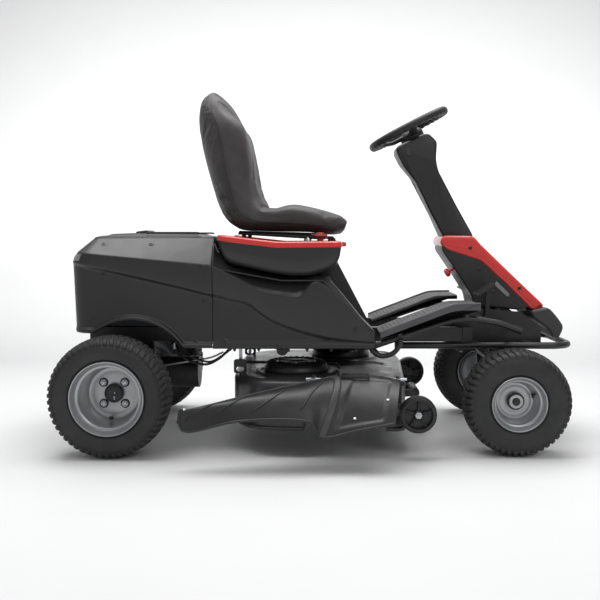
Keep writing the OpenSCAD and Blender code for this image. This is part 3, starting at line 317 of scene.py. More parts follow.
# The usual finish: a mottled colour, a roughness that wanders, fine grain and a slow ripple.
# Dust settles on faces that look up, as a paler mix driven by the normal and a noise.
def finishOf(name, colour, rough, grain, metallic=0.0, mottle=0.12, coat=0.0, dust=0.0, sheen=0.0,
             stretch=(1, 1, 1)):
    material, tree, shader, place = startFinish(name)
    colour = np.array(colour)
    cloud = addNoise(tree, place, 9.0, 4.0, stretch)
    base = addColours(tree, cloud, colour * (1 - mottle), np.minimum(colour * (1 + mottle), 1))
    if dust:
        geometry = tree.nodes.new("ShaderNodeNewGeometry")
        split = tree.nodes.new("ShaderNodeSeparateXYZ")
        tree.links.new(geometry.outputs["Normal"], split.inputs["Vector"])
        up = addRange(tree, split.outputs["Z"], 0, dust, 0.2, 1.0)
        specks = addNoise(tree, place, 60.0, 6.0, roughness=0.7)
        amount = tree.nodes.new("ShaderNodeMath")
        amount.operation = "MULTIPLY"
        tree.links.new(up, amount.inputs[0])
        tree.links.new(addRange(tree, specks, 0.2, 1.0), amount.inputs[1])
        mix = tree.nodes.new("ShaderNodeMix")
        mix.data_type = "RGBA"
        tree.links.new(amount.outputs[0], mix.inputs[0])
        tree.links.new(base, mix.inputs[6])
        mix.inputs[7].default_value = (0.22, 0.21, 0.19, 1)
        base = mix.outputs[2]
    tree.links.new(base, shader.inputs["Base Color"])
    smudge = addNoise(tree, place, 22.0, 5.0, stretch)
    tree.links.new(addRange(tree, smudge, rough[0], rough[1]), shader.inputs["Roughness"])
    scale, strength, distance = grain
    fine = addNoise(tree, place, scale, 2.0, stretch)
    slow = addBump(tree, addNoise(tree, place, scale / 14, 2.0), strength * 0.35, distance * 3)
    tree.links.new(addBump(tree, fine, strength, distance, slow), shader.inputs["Normal"])
    shader.inputs["Metallic"].default_value = metallic
    shader.inputs["Coat Weight"].default_value = coat
    shader.inputs["Coat Roughness"].default_value = 0.12
    shader.inputs["Sheen Weight"].default_value = sheen
    finishes[name] = material


finishOf("blackSteel", (0.010, 0.010, 0.011), (0.30, 0.46), (900, 0.12, 0.0004), coat=0.15, dust=0.05)
finishOf("greySteel", (0.034, 0.034, 0.036), (0.34, 0.50), (800, 0.15, 0.0004), dust=0.05)
finishOf("deckPaint", (0.028, 0.028, 0.030), (0.26, 0.40), (700, 0.15, 0.0005), dust=0.05)
finishOf("zincSteel", (0.50, 0.51, 0.53), (0.26, 0.44), (600, 0.10, 0.0003), 1.0, stretch=(1, 4, 1))
finishOf("bladeSteel", (0.42, 0.43, 0.45), (0.24, 0.40), (700, 0.16, 0.0003), 1.0, stretch=(1, 6, 1))
finishOf("rimPaint", (0.40, 0.41, 0.42), (0.28, 0.40), (1200, 0.06, 0.0003), 0.55, 0.05, coat=0.3)
finishOf("bodyPlastic", (0.020, 0.020, 0.021), (0.34, 0.44), (1500, 0.22, 0.0004), mottle=0.05, dust=0.02)
finishOf("blackPlastic", (0.014, 0.014, 0.015), (0.36, 0.48), (1500, 0.22, 0.0004), mottle=0.06)
finishOf("nosePlastic", (0.036, 0.036, 0.038), (0.38, 0.50), (1500, 0.2, 0.0004), mottle=0.05)
finishOf("redPlastic", (0.66, 0.030, 0.024), (0.28, 0.36), (500, 0.05, 0.0003), mottle=0.05, coat=0.5)
finishOf("stepMat", (0.075, 0.075, 0.078), (0.55, 0.70), (1100, 0.3, 0.0005), dust=0.06)
finishOf("tyreRubber", (0.022, 0.022, 0.023), (0.58, 0.74), (900, 0.3, 0.0005), mottle=0.15, dust=0.03)
finishOf("wheelGrip", (0.012, 0.012, 0.012), (0.42, 0.55), (1600, 0.25, 0.0004), mottle=0.08)
finishOf("motorBlack", (0.014, 0.014, 0.015), (0.30, 0.45), (500, 0.2, 0.0006), 0.2, dust=0.04)
finishOf("castAlloy", (0.07, 0.07, 0.072), (0.42, 0.58), (450, 0.35, 0.0008), 0.7, dust=0.05)
finishOf("batteryCase", (0.035, 0.038, 0.042), (0.40, 0.52), (1300, 0.2, 0.0004))
finishOf("nylonBlack", (0.012, 0.012, 0.013), (0.38, 0.52), (800, 0.2, 0.0005), dust=0.05)
print("finishes ready:", len(finishes))


# Vinyl: cells of leather grain, each a shallow pillow with a groove round it, over soft creases
def makeVinyl():
    material, tree, shader, place = startFinish("seatVinyl")
    cells = tree.nodes.new("ShaderNodeTexVoronoi")
    cells.feature = "DISTANCE_TO_EDGE"
    cells.inputs["Scale"].default_value = 420
    tree.links.new(place, cells.inputs["Vector"])
    pillow = addRange(tree, cells.outputs["Distance"], 0, 1, 0.0, 0.22)
    soft = addBump(tree, addNoise(tree, place, 45, 4), 0.16, 0.003)
    tree.links.new(addBump(tree, pillow, 0.32, 0.0006, soft), shader.inputs["Normal"])
    tone = addColours(tree, addNoise(tree, place, 14, 5), (0.024, 0.0205, 0.020), (0.036, 0.031, 0.030))
    tree.links.new(tone, shader.inputs["Base Color"])
    tree.links.new(addRange(tree, addNoise(tree, place, 30, 4), 0.46, 0.58), shader.inputs["Roughness"])
    shader.inputs["Sheen Weight"].default_value = 0.08
    return material


# Lens: clear plastic with fine vertical flutes
def makeLens():
    material, tree, shader, place = startFinish("lampLens")
    waves = tree.nodes.new("ShaderNodeTexWave")
    waves.inputs["Scale"].default_value = 60
    tree.links.new(place, waves.inputs["Vector"])
    tree.links.new(addBump(tree, waves.outputs["Fac"], 0.4, 0.001), shader.inputs["Normal"])
    tone = addColours(tree, addNoise(tree, place, 40, 2), (0.20, 0.20, 0.195), (0.30, 0.30, 0.29))
    tree.links.new(tone, shader.inputs["Base Color"])
    shader.inputs["Roughness"].default_value = 0.12
    shader.inputs["Coat Weight"].default_value = 0.6
    shader.inputs["Alpha"].default_value = 0.8
    return material


finishes["seatVinyl"] = makeVinyl()
finishes["lampLens"] = makeLens()


# ---- camera, floor and lights ----
stageSet = {
    "eye": (0.6703, -3.0558, 0.7173), "downward": 0.0766, "turn": 0.0196, "lens": 50.06,
    "floor": (0.80, 0.80, 0.80), "world": (0.92, 0.93, 0.95),
}


def makeCamera():
    data = bpy.data.cameras.new("camera")
    data.lens = stageSet["lens"]
    data.sensor_width = 36
    data.clip_end = 60
    camera = bpy.data.objects.new("camera", data)
    camera.location = np.array(stageSet["eye"]) + machine
    camera.rotation_euler = (math.pi / 2 - stageSet["downward"], 0, stageSet["turn"])
    bpy.context.scene.collection.objects.link(camera)
    bpy.context.scene.camera = camera


def makeFloor():
    # a wide sheet: flat under the machine, then curving up far behind it
    x = np.linspace(-14, 14, 3)
    y = np.concatenate([[-9.0], np.linspace(3, 8, 40), np.full(2, 8.0)])
    z = 5.0 * (1 - np.cos(np.clip((y - 3) / 5, 0, 1) * math.pi / 2)) - 0.0005
    z[-2:] = (6.5, 9.0)
    grid = np.stack([np.broadcast_to(x[None], (len(y), 3)), np.broadcast_to(y[:, None], (len(y), 3)),
            np.broadcast_to(z[:, None], (len(y), 3))], -1)
    mesh = bpy.data.meshes.new("floor")
    mesh.from_pydata(grid.reshape(-1, 3).tolist(), [], gridFaces(len(y), 3).tolist())
    mesh.polygons.foreach_set("use_smooth", np.ones(len(mesh.polygons), bool))
    floor = bpy.data.objects.new("floor", mesh)
    bpy.context.scene.collection.objects.link(floor)
    material, tree, shader, place = startFinish("floor")
    tone = addColours(tree, addNoise(tree, place, 3, 2), np.array(stageSet["floor"]) * 0.985,
            stageSet["floor"])
    tree.links.new(tone, shader.inputs["Base Color"])
    shader.inputs["Roughness"].default_value = 0.65
    mesh.materials.append(material)


def makeLight(name, place, target, size, power):
    data = bpy.data.lights.new(name, "AREA")
    data.shape = "RECTANGLE"
    data.size, data.size_y = size
    data.energy = power
    light = bpy.data.objects.new(name, data)
    light.location = np.array(place) + machine
    light.rotation_euler = (Vector(target) - Vector(place)).to_track_quat("-Z", "Y").to_euler()
    bpy.context.scene.collection.objects.link(light)


makeCamera()
makeFloor()
makeLight("overhead", (0.5, 0.3, 3.2), (0.6, 0, 0.4), (3.6, 2.4), 130)
makeLight("front", (2.2, -3.4, 2.6), (0.6, 0, 0.6), (2.4, 1.2), 26)
makeLight("backdrop", (0.6, 2.6, 3.6), (0.6, 8.0, 2.2), (8.0, 1.5), 250)
world = bpy.data.worlds.new("world")
world.use_nodes = True
world.node_tree.nodes["Background"].inputs["Color"].default_value = (*stageSet["world"], 1)
world.node_tree.nodes["Background"].inputs["Strength"].default_value = 0.42
bpy.context.scene.world = world
bpy.context.scene.view_settings.view_transform = "Standard"
print("camera, floor and lights ready")


# ---- bodywork ----
bodyShape = {
    "side": 0.340, "shoulder": 0.246, "top": 0.713, "seam": 0.3285, "tail": -0.150, "cornerRadius": 0.075,
    "rearEnd": 0.205, "step": 0.015, "flange": 0.024, "wall": 0.0035, "arch": (0.062, 0.235, 0.2035),
    "low": 0.348, "tailLow": 0.396,
}


def creaseHeight(x):
    return 0.652 - 0.098 * x


def bandHeight(x):
    # the lower edge of the bright band falls away faster and faster towards the front
    return 0.598 - 0.215 * x - 0.06 * x**2


def lowEdge(x):
    # the body's lower edge: the wheel arch is a circle's arc standing above the straight edge
    cx, cz, r = bodyShape["arch"]
    arc = cz + np.sqrt(np.maximum(r**2 - (x - cx) ** 2, 0))
    return np.maximum(arc, np.where(x < 0, bodyShape["tailLow"], bodyShape["low"]))


# The rear body is a function of two parameters. Along the plan line u runs from the seam back along
# the flank, round the corner and in along the tail; across it the knots run from shoulder to flange.
# Each knot gives how far it lies inside the plan line on the flank and on the tail, and its height.
def makeRearFender(name, left, node):
    s = bodyShape
    flank = np.concatenate([np.linspace(0, 1, 64), np.ones(24)])
    turn = np.concatenate([np.zeros(64), np.linspace(0, 1, 16), np.ones(8)])
    tail = np.concatenate([np.zeros(80), np.linspace(0.12, 1, 8)])

    def knot(insideFlank, insideTail, height):
        inside = insideFlank + (insideTail - insideFlank) * smoothStep(turn, 0, 1)
        r = np.maximum(s["cornerRadius"] - 0.55 * inside, 0.022)
        back = s["tail"] + insideTail + r
        wide = s["side"] - insideFlank - r
        x = s["seam"] + (back - s["seam"]) * flank - r * np.sin(turn * math.pi / 2)
        y = wide + r * np.cos(turn * math.pi / 2)
        y = y + (s["rearEnd"] - y) * tail
        z = height(x) if callable(height) else np.full(len(x), height)
        return np.stack([x, -y, z], -1)

    step = s["step"]
    knots = np.stack([
        knot(0.112, 0.095, s["top"] - 0.014),
        knot(0.096, 0.078, s["top"]),
        knot(0.084, 0.066, s["top"] - 0.003),
        knot(0.0, 0.024, creaseHeight),
        knot(0.003, 0.004, lambda x: bandHeight(x) + 0.005),
        knot(step, 0.003, lambda x: bandHeight(x) - 0.004),
        knot(step + 0.002, 0.010, lambda x: lowEdge(x) + 0.020),
        knot(0.002, 0.012, lambda x: lowEdge(x) + 0.012),
        knot(0.002, 0.014, lowEdge),
        knot(0.002 + s["flange"], 0.014 + s["flange"], lambda x: lowEdge(x) + 0.002)])
    grid = rounded(knots, 0.006, 4)
    if left:
        grid = grid * (1, -1, 1)
    piece = makePiece(name, grid, gridFaces(*grid.shape[:2]), "frame", "bodyPlastic", (node,),
            outward=(0, 1 if left else -1, 0), sharp=50)
    return addWall(piece, s["wall"])


def makeRearPanel():
    # the same section as the tail, straight across between the two fenders, a little further in
    s = bodyShape
    y = np.linspace(-s["rearEnd"] + 0.0015, s["rearEnd"] - 0.0015, 15)
    inside = np.array([0.097, 0.080, 0.068, 0.026, 0.006, 0.005, 0.012, 0.014, 0.016, 0.040])
    x0 = s["tail"]
    height = np.array([s["top"] - 0.014, s["top"], s["top"] - 0.003, creaseHeight(x0),
            bandHeight(x0) + 0.004, bandHeight(x0) - 0.004, s["tailLow"] + 0.020, s["tailLow"] + 0.012,
            s["tailLow"], s["tailLow"] + 0.002])
    knots = np.stack([np.broadcast_to(x0 + 0.002 + inside[:, None], (10, 15)),
            np.broadcast_to(y[None], (10, 15)), np.broadcast_to(height[:, None], (10, 15))], -1)
    grid = rounded(knots, 0.006, 4)
    piece = makePiece("rearPanel", grid, gridFaces(*grid.shape[:2]), "frame", "bodyPlastic",
            ("rear_panel",), outward=(-1, 0, 0), sharp=50)
    addWall(piece, s["wall"])
    # louvres let the battery bay breathe
    slats = [moulded(f"louvre{i}", [(-0.1505, 0.46 + i * 0.016), (-0.1435, 0.466 + i * 0.016),
            (-0.141, 0.466 + i * 0.016), (-0.141, 0.458 + i * 0.016)], 0.11, 0.002, "frame", "blackPlastic",
            corner=0.001, steps=3) for i in range(6)]
    joined("rearLouvres", slats)


# The flank between the seam and the foot platforms: a raised band over a slightly sunken lower field
midShape = {
    "top": [(0.3297, 0.690), (0.341, 0.664), (0.358, 0.640), (0.390, 0.618), (0.470, 0.600), (0.555, 0.584),
        (0.700, 0.582), (0.722, 0.565), (0.780, 0.496), (0.835, 0.428), (0.862, 0.398)],
    "crease": [(0.3297, 0.524), (0.390, 0.508), (0.443, 0.496), (0.490, 0.462), (0.530, 0.437),
        (0.600, 0.410), (0.661, 0.392), (0.740, 0.376), (0.862, 0.362)],
    "brow": [(0.3297, 0.617), (0.420, 0.573), (0.486, 0.538), (0.560, 0.524), (0.610, 0.517),
        (0.632, 0.530), (0.655, 0.560), (0.690, 0.560), (0.760, 0.500), (0.862, 0.398)],
    "low": 0.346,
}


def makeMidFenders():
    top = throughPoints(midShape["top"], 72)
    crease = throughPoints(midShape["crease"], 72)
    x = top[:, 0]
    creaseZ = np.interp(x, crease[:, 0], crease[:, 1])
    low = np.full(len(x), midShape["low"])
    side = bodyShape["side"]

    def knot(inside, z):
        return np.stack([x, np.full(len(x), inside - side), z], -1)

    creaseZ = np.minimum(creaseZ, top[:, 1] - 0.006)
    brow = throughPoints(midShape["brow"], 72)
    browZ = np.clip(np.interp(x, brow[:, 0], brow[:, 1]), creaseZ + 0.010, top[:, 1] - 0.004)
    lean = 0.055 * smoothStep(top[:, 1] - browZ, 0.0, 0.05)
    knots = np.stack([knot(lean + 0.030, top[:, 1] + 0.003), knot(lean + 0.006, top[:, 1] + 0.001),
            knot(lean * 0.92, top[:, 1] - 0.004), knot(0.001, browZ + 0.001), knot(0.000, browZ - 0.003),
            knot(0.006, creaseZ + 0.005), knot(0.017, creaseZ - 0.007), knot(0.015, low + 0.03),
            knot(0.006, low + 0.015), knot(0.006, low), knot(0.028, low)])
    knots[:, :, 2] = np.maximum(knots[:, :, 2], low[None])
    grid = rounded(knots, 0.005, 4)
    for side in (1, -1):
        piece = makePiece("midFender" + sideName(-side), grid * (1, side, 1), gridFaces(*grid.shape[:2]),
                "frame", "bodyPlastic", outward=(0, -side, 0), sharp=50)
        addWall(piece, bodyShape["wall"])
    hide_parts("mid_fenders")


# The lid: a crowned plate whose edges roll down, with two raised beads and a pull handle
lidShape = {"back": -0.078, "front": 0.288, "half": 0.240, "z": 0.7185, "crown": 0.009, "drop": 0.016}


def makeLid():
    s = lidShape
    a = np.linspace(-1, 1, 61)
    u, v = np.meshgrid(a, a, indexing="ij")
    edge = np.maximum(np.abs(u) ** 14, np.abs(v) ** 14)
    bend = np.minimum((np.abs(u) ** 14 + np.abs(v) ** 14), 1)
    x = (s["back"] + s["front"]) / 2 + u * (s["front"] - s["back"]) / 2
    y = v * s["half"]
    z = s["z"] + s["crown"] * (1 - u**2) * (1 - v**2) - 0.006 * edge * bend
    beads = smoothStep(np.abs(np.abs(v) - 0.62), 0.05, 0.02) * smoothStep(np.abs(u), 0.88, 0.80)
    z = z + 0.004 * beads
    skirt = np.stack([x, y, z], -1)
    rim = np.concatenate([skirt[0], skirt[1:, -1], skirt[-1, ::-1][1:], skirt[::-1, 0][1:-1]])
    low = rim * (1, 1, 0) + (0, 0, s["z"] - s["drop"])
    n = len(rim)
    faces = gridFaces(61, 61).tolist()
    skirtFaces = (gridFaces(2, n, wrapCols=True) + 61 * 61).tolist()
    points = np.concatenate([skirt.reshape(-1, 3), rim, low])
    piece = makePiece("rearLid", points, faces + skirtFaces, "lid", "bodyPlastic", ("rear_lid",),
            outward=(0, 0, 1), sharp=50)
    addWall(piece, 0.003)
    grip = moulded("lidGrip", [(0.018, 0.722), (0.024, 0.734), (0.060, 0.738), (0.068, 0.735),
            (0.066, 0.729), (0.040, 0.727), (0.036, 0.722)], 0.062, 0.005, "lid", "blackPlastic", 0.003)
    bars = [tube(f"lidBar{s}", [(0.09, s * 0.206, 0.7265), (0.10, s * 0.206, 0.7285),
            (0.262, s * 0.206, 0.7285), (0.272, s * 0.206, 0.7265)], 0.0035, "lid", "bodyPlastic",
            sides=10) for s in (-1, 1)]
    hinges = [turned(f"lidHinge{s}", [(0, -0.03), (0.006, -0.03), (0.007, -0.028), (0.007, 0.028),
            (0.006, 0.03), (0, 0.03)], (0.288, s * 0.16, 0.707), (0, 1, 0), "lid", "blackSteel", sides=16)
            for s in (-1, 1)]
    joined("lidHardware", [grip, *bars])
    joined("lidHinges", hinges)


# Between the shoulder and the lid: a narrow deck with a slotted vent just behind the seat
def makeShoulderVents():
    slats = []
    for side in (-1, 1):
        for i in range(7):
            x = 0.299 + i * 0.0044
            slats.append(moulded(f"vent{side}{i}", [(x, 0.707), (x + 0.002, 0.7135), (x + 0.0035, 0.7135),
                    (x + 0.0035, 0.707)], 0.07, 0.0008, "frame", "blackPlastic", corner=0.0006,
                    middle=side * 0.165, steps=3))
    joined("shoulderVents", slats)
    for side in (-1, 1):
        # the hood's shoulder plate between fender and lid
        moulded("shoulderPlate" + sideName(side), [(-0.078, 0.708), (-0.076, 0.7125), (0.288, 0.7125),
                (0.290, 0.708)], 0.0035, 0.001, "frame", "bodyPlastic", corner=0.001, middle=side * 0.2455,
                steps=3)
    moulded("cowlVent", [(0.298, 0.700), (0.298, 0.7075), (0.327, 0.7075), (0.332, 0.700)], 0.244, 0.002,
            "frame", "bodyPlastic", corner=0.002, steps=4)


makeRearFender("rearFenderRight", False, "rear_fender_right")
makeRearFender("rearFenderLeft", True, "rear_fender_left")
makeRearPanel()
makeMidFenders()
makeLid()
makeShoulderVents()
print("bodywork ready")


# ---- storage pods beside the seat ----
podShape = {
    "back": 0.345, "front": 0.754, "outer": 0.345, "inner": 0.215, "corner": 0.030, "wall": 0.005,
    "under": [(0.345, 0.672), (0.362, 0.648), (0.385, 0.630), (0.470, 0.608), (0.560, 0.590),
        (0.610, 0.586), (0.660, 0.590), (0.738, 0.620), (0.754, 0.668)],
    "rim": [(0.345, 0.722), (0.440, 0.710), (0.520, 0.701), (0.540, 0.699), (0.560, 0.6985),
        (0.754, 0.7000)],
}


def podLoop(inside):
    # the tray's plan: a rectangle with rounded corners, moved inwards
    s = podShape
    box = [(s["back"] + inside, -s["outer"] + inside), (s["front"] - inside, -s["outer"] + inside),
           (s["front"] - inside, -s["inner"] - inside), (s["back"] + inside, -s["inner"] - inside)]
    dense = np.concatenate([np.linspace(box[i], box[(i + 1) % 4], n, endpoint=False)
            for i, n in zip(range(4), (40, 8, 40, 8))])
    cx = np.clip(dense[:, 0], box[0][0] + s["corner"], box[1][0] - s["corner"])
    cy = np.clip(dense[:, 1], box[0][1] + s["corner"], box[2][1] - s["corner"])
    away = dense - np.stack([cx, cy], -1)
    size = np.maximum(np.linalg.norm(away, axis=1, keepdims=True), 1e-9)
    outside = (np.abs(dense[:, 0] - cx) > 1e-6) & (np.abs(dense[:, 1] - cy) > 1e-6)
    roundedCorner = np.stack([cx, cy], -1) + away / size * s["corner"]
    return np.where(outside[:, None], roundedCorner, dense)


def podRow(inside, height):
    plan = podLoop(inside)
    z = height(plan[:, 0]) if callable(height) else np.full(len(plan), height)
    return np.column_stack([plan, z])


def makePods():
    under = throughPoints(podShape["under"], 60)
    rim = throughPoints(podShape["rim"], 60)

    def underAt(x):
        return np.interp(x, under[:, 0], under[:, 1])

    def rimAt(x):
        return np.interp(x, rim[:, 0], rim[:, 1])

    def lift(extra):
        return lambda x: underAt(x) + extra

    def below(extra):
        return lambda x: np.maximum(rimAt(x) - extra, underAt(x) + 0.004)

    outside = [podRow(0.060, lift(0.0)), podRow(0.030, lift(0.0)), podRow(0.016, lift(0.004)),
            podRow(0.006, lift(0.018)), podRow(0.002, lambda x: (underAt(x) + rimAt(x)) / 2),
            podRow(0.0015, below(0.019)), podRow(0.0075, below(0.018)), podRow(0.0085, below(0.045)),
            podRow(0.020, lift(0.018)), podRow(0.034, lift(0.009)), podRow(0.062, lift(0.007))]
    grid = np.stack(outside)
    ring = np.stack([podRow(a, below(b)) for a, b in ((0.0005, 0.0195), (-0.0015, 0.017), (-0.0005, 0.0035),
            (0.003, 0.0), (0.010, -0.0005), (0.0145, 0.002), (0.0155, 0.007), (0.0085, 0.0095),
            (0.008, 0.019))])
    trims, trays = [], []
    for side in (1, -1):
        rows, cols = grid.shape[:2]
        faces = gridFaces(rows, cols, wrapCols=True).tolist()
        faces += [list(range(cols)), list(range((rows - 1) * cols, rows * cols))]
        label = sideName(-side)
        trays.append(makePiece("podTray" + label, grid * (1, side, 1), faces, "frame", "bodyPlastic",
                sharp=45))
        ringFaces = gridFaces(*ring.shape[:2], wrapCols=True, wrapRows=True)
        trims.append(makePiece("podTrim" + label, ring * (1, side, 1), ringFaces, "frame", "redPlastic"))
    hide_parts("storage_pods")
    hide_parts("pod_trims")


makePods()
print("pods ready")


# ---- steering column, housings, foot platforms ----
frontAxle = middleOf("front_axle")[0] - machine[0]
wheelCentre = np.array([frontAxle - 0.326, 0, 1.101])
columnTilt = math.radians(27)
columnUp = np.array([-math.sin(columnTilt), 0, math.cos(columnTilt)])


def ahead(points):
    # side outlines of the front pieces, measured from the front axle
    return [(frontAxle + x, z) for x, z in points]


frontShape = {
    "column": [(-0.204, 0.712), (-0.200, 0.690), (-0.106, 0.690), (-0.096, 0.717), (-0.160, 0.836),
        (-0.222, 0.952), (-0.232, 0.985), (-0.229, 1.052), (-0.262, 1.082), (-0.288, 1.076),
        (-0.330, 1.055), (-0.370, 1.036), (-0.375, 1.016), (-0.350, 0.968), (-0.303, 0.912),
        (-0.255, 0.815)],
    "cowl": [(-0.222, 0.690), (-0.212, 0.719), (-0.102, 0.717), (-0.082, 0.692), (0.035, 0.580),
        (0.152, 0.470), (0.108, 0.453), (0.016, 0.545), (-0.078, 0.630), (-0.196, 0.668)],
    "dash": [(-0.212, 0.690), (-0.196, 0.702), (-0.086, 0.656), (-0.008, 0.588), (0.104, 0.478),
        (0.080, 0.454), (-0.020, 0.462), (-0.100, 0.470), (-0.106, 0.506), (-0.160, 0.590),
        (-0.214, 0.668)],
    "nose": [(0.097, 0.456), (0.150, 0.466), (0.166, 0.462), (0.200, 0.428), (0.224, 0.396), (0.214, 0.370),
        (0.202, 0.352), (0.180, 0.356), (0.158, 0.392), (0.104, 0.430)],
}


def makeColumn():
    def half(points):
        # narrow in the middle, wider at the head and where the column stands in the cowl
        z = points[:, 1]
        return 0.044 + 0.018 * smoothStep(z, 0.94, 0.985) + 0.022 * smoothStep(z, 0.80, 0.70)

    moulded("columnCover", ahead(frontShape["column"]), half, 0.011, "frame", "blackPlastic", corner=0.013,
            replaces=("column_cover",), steps=7)
    # a raised spine down the column's front and the parting line of its two halves
    spine = throughPoints([(frontAxle + x, 0, z) for x, z in ((-0.106, 0.736), (-0.160, 0.836),
            (-0.190, 0.892), (-0.216, 0.941))], 24)
    width = np.linspace(0.026, 0.014, 24)
    across = np.linspace(-1, 1, 9)
    grid = np.stack([np.stack([spine[:, 0] + 0.0035 * (1 - a**4) - 0.001, a * width,
            spine[:, 2] + 0.0018 * (1 - a**4) - 0.0005], -1) for a in across])
    addWall(makePiece("columnSpine", grid, gridFaces(9, 24), "frame", "blackPlastic", outward=(1, 0, 0)),
            0.003)
    # the collar under the steering wheel
    turned("columnCollar", [(0.0, -0.098), (0.040, -0.098), (0.047, -0.092), (0.048, -0.066),
            (0.044, -0.061), (0.030, -0.060), (0.0, -0.060)], wheelCentre, columnUp, "frame",
            "blackPlastic")
    # a small socket with a pale bezel on the head's right cheek
    turned("socketRing", [(0.0, 0.0), (0.0105, 0.0), (0.0125, 0.0015), (0.0125, 0.004), (0.0095, 0.0055),
            (0.0085, 0.003), (0.0, 0.003)], (frontAxle - 0.330, -0.0622, 1.014), (0, -1, 0), "frame",
            "greySteel", sides=32)


def screwHead(name, place, side, size=0.0065):
    # a dished washer head with a six-sided recess
    return turned(name, [(0.0, 0.0012), (size * 0.38, 0.0012), (size * 0.42, 0.0028), (size * 0.75, 0.0026),
            (size, 0.0010), (size, -0.0010), (0.0, -0.0010)], place, (0, side, 0), "frame", "blackSteel",
            sides=20)


def makeHousings():
    dashHalf = (highOf("dash_cover")[1] - lowOf("dash_cover")[1]) / 2
    moulded("frontCowl", ahead(frontShape["cowl"]), dashHalf + 0.006, 0.009, "frame", "redPlastic",
            corner=0.014, replaces=("front_cowl",), steps=7)
    moulded("dashCover", ahead(frontShape["dash"]), dashHalf, 0.007, "frame", "blackPlastic", corner=0.012,
            replaces=("dash_cover",), steps=6)

    def noseHalf(points):
        # the nose narrows towards its tip
        return 0.121 - 0.030 * smoothStep(points[:, 0], frontAxle + 0.15, frontAxle + 0.23)

    moulded("noseCover", ahead(frontShape["nose"]), noseHalf, 0.010, "frame", "nosePlastic", corner=0.015,
            replaces=("nose_cover",), steps=7)
    # a raised facet line along each cheek of the cowl, and the screws that hold the housings
    for side in (-1, 1):
        label = sideName(side)
        y = side * (dashHalf + 0.0052)
        path = throughPoints([(frontAxle - 0.196, y, 0.690), (frontAxle - 0.086, y, 0.658),
                (frontAxle + 0.018, y, 0.562), (frontAxle + 0.116, y, 0.468)], 40)
        tube("cowlFacet" + label, path, 0.0018, "frame", "redPlastic", sides=8, upward=(0, 1, 0))
        places = ((-0.115, 0.676, 0.006), (0.060, 0.534, 0.006), (-0.080, 0.600, 0.0), (-0.030, 0.520, 0.0))
        screws = [screwHead(f"frontScrew{label}{i}", (frontAxle + x, side * (dashHalf + out), z), side)
                  for i, (x, z, out) in enumerate(places)]
        joined("frontScrews" + label, screws)
    grille = [moulded(f"noseBar{i}", ahead([(0.186 + 0.007 * i, 0.437 - 0.009 * i),
            (0.191 + 0.007 * i, 0.439 - 0.009 * i), (0.194 + 0.007 * i, 0.434 - 0.009 * i),
            (0.188 + 0.007 * i, 0.432 - 0.009 * i)]), 0.06, 0.0015, "frame", "blackPlastic", corner=0.001,
            steps=3) for i in range(3)]
    joined("noseGrille", grille)


footShape = {
    "back": -0.445, "outer": -0.330, "inner": -0.127, "thick": 0.015,
    "top": [(-0.447, 0.398), (-0.400, 0.4165), (-0.300, 0.4545), (-0.225, 0.4830), (-0.190, 0.4905),
        (-0.119, 0.4925)],
    "tube": [(-0.470, 0.352), (-0.400, 0.376), (-0.300, 0.411), (-0.225, 0.436), (-0.180, 0.444),
        (-0.130, 0.443), (-0.085, 0.436), (-0.040, 0.426), (0.020, 0.403)],
}


def makeFootrests():
    top = throughPoints(ahead(footShape["top"]), 40)
    under = top[::-1] - (0, footShape["thick"])
    outline = np.concatenate([top, under])
    middle = (footShape["outer"] + footShape["inner"]) / 2
    half = (footShape["inner"] - footShape["outer"]) / 2
    for side in (1, -1):
        label = sideName(-side)
        plate = moulded("footPlate" + label, outline, half, 0.004, "frame", "greySteel", corner=0.002,
                middle=side * middle)
        # a kerb along the outer edge, paler than the plate
        moulded("footKerb" + label, np.concatenate([top + (0, 0.007), under - (0, 0.006)]), 0.006, 0.004,
                "frame", "stepMat", corner=0.003, middle=side * (footShape["outer"] + 0.002))
        makeFootMat("footMat" + label, top, side)
        route = throughPoints([(x, -0.305 * side, z) for x, z in ahead(footShape["tube"])], 60)
        tube("footTube" + label, route, 0.0105, "frame", "blackSteel", sides=18, upward=(0, 1, 0))
        # two posts that carry the platform, and a flat strap under each end of the tube
        brackets = []
        for i, (x, z) in enumerate(ahead([(-0.380, 0.384), (-0.160, 0.446)])):
            brackets.append(moulded(f"footPost{side}{i}", [(x - 0.008, z), (x + 0.008, z), (x + 0.008, z + 0.030),
                                                           (x - 0.008, z + 0.030)], 0.010, 0.002, "frame",
                                    "blackSteel", corner=0.002, middle=-0.305 * side, steps=3))
        straps = ((frontAxle + 0.012, 0.404, 0.090, 0.215), (frontAxle - 0.462, 0.356, 0.065, 0.240))
        ends = []
        for i, (x, z, wide, out) in enumerate(straps):
            corners = [(x - 0.009, z - 0.004), (x + 0.009, z - 0.004), (x + 0.009, z + 0.004),
                       (x - 0.009, z + 0.004)]
            ends.append(moulded(f"footEnd{side}{i}", corners, wide, 0.002, "frame", "blackSteel", corner=0.002,
                                middle=-out * side, steps=3))
        joined("footBrackets" + label, brackets + ends)
        # the looped guard behind the platform
        guard = ahead([(-0.478, 0.396), (-0.480, 0.370), (-0.470, 0.338), (-0.440, 0.322), (-0.405, 0.330),
                       (-0.385, 0.352), (-0.378, 0.378)])
        loop = throughPoints([(x, -0.317 * side, z) for x, z in guard], 40)
        tube("footGuard" + label, loop, 0.0085, "frame", "blackSteel", sides=14, upward=(0, 1, 0))
    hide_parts("footrests")


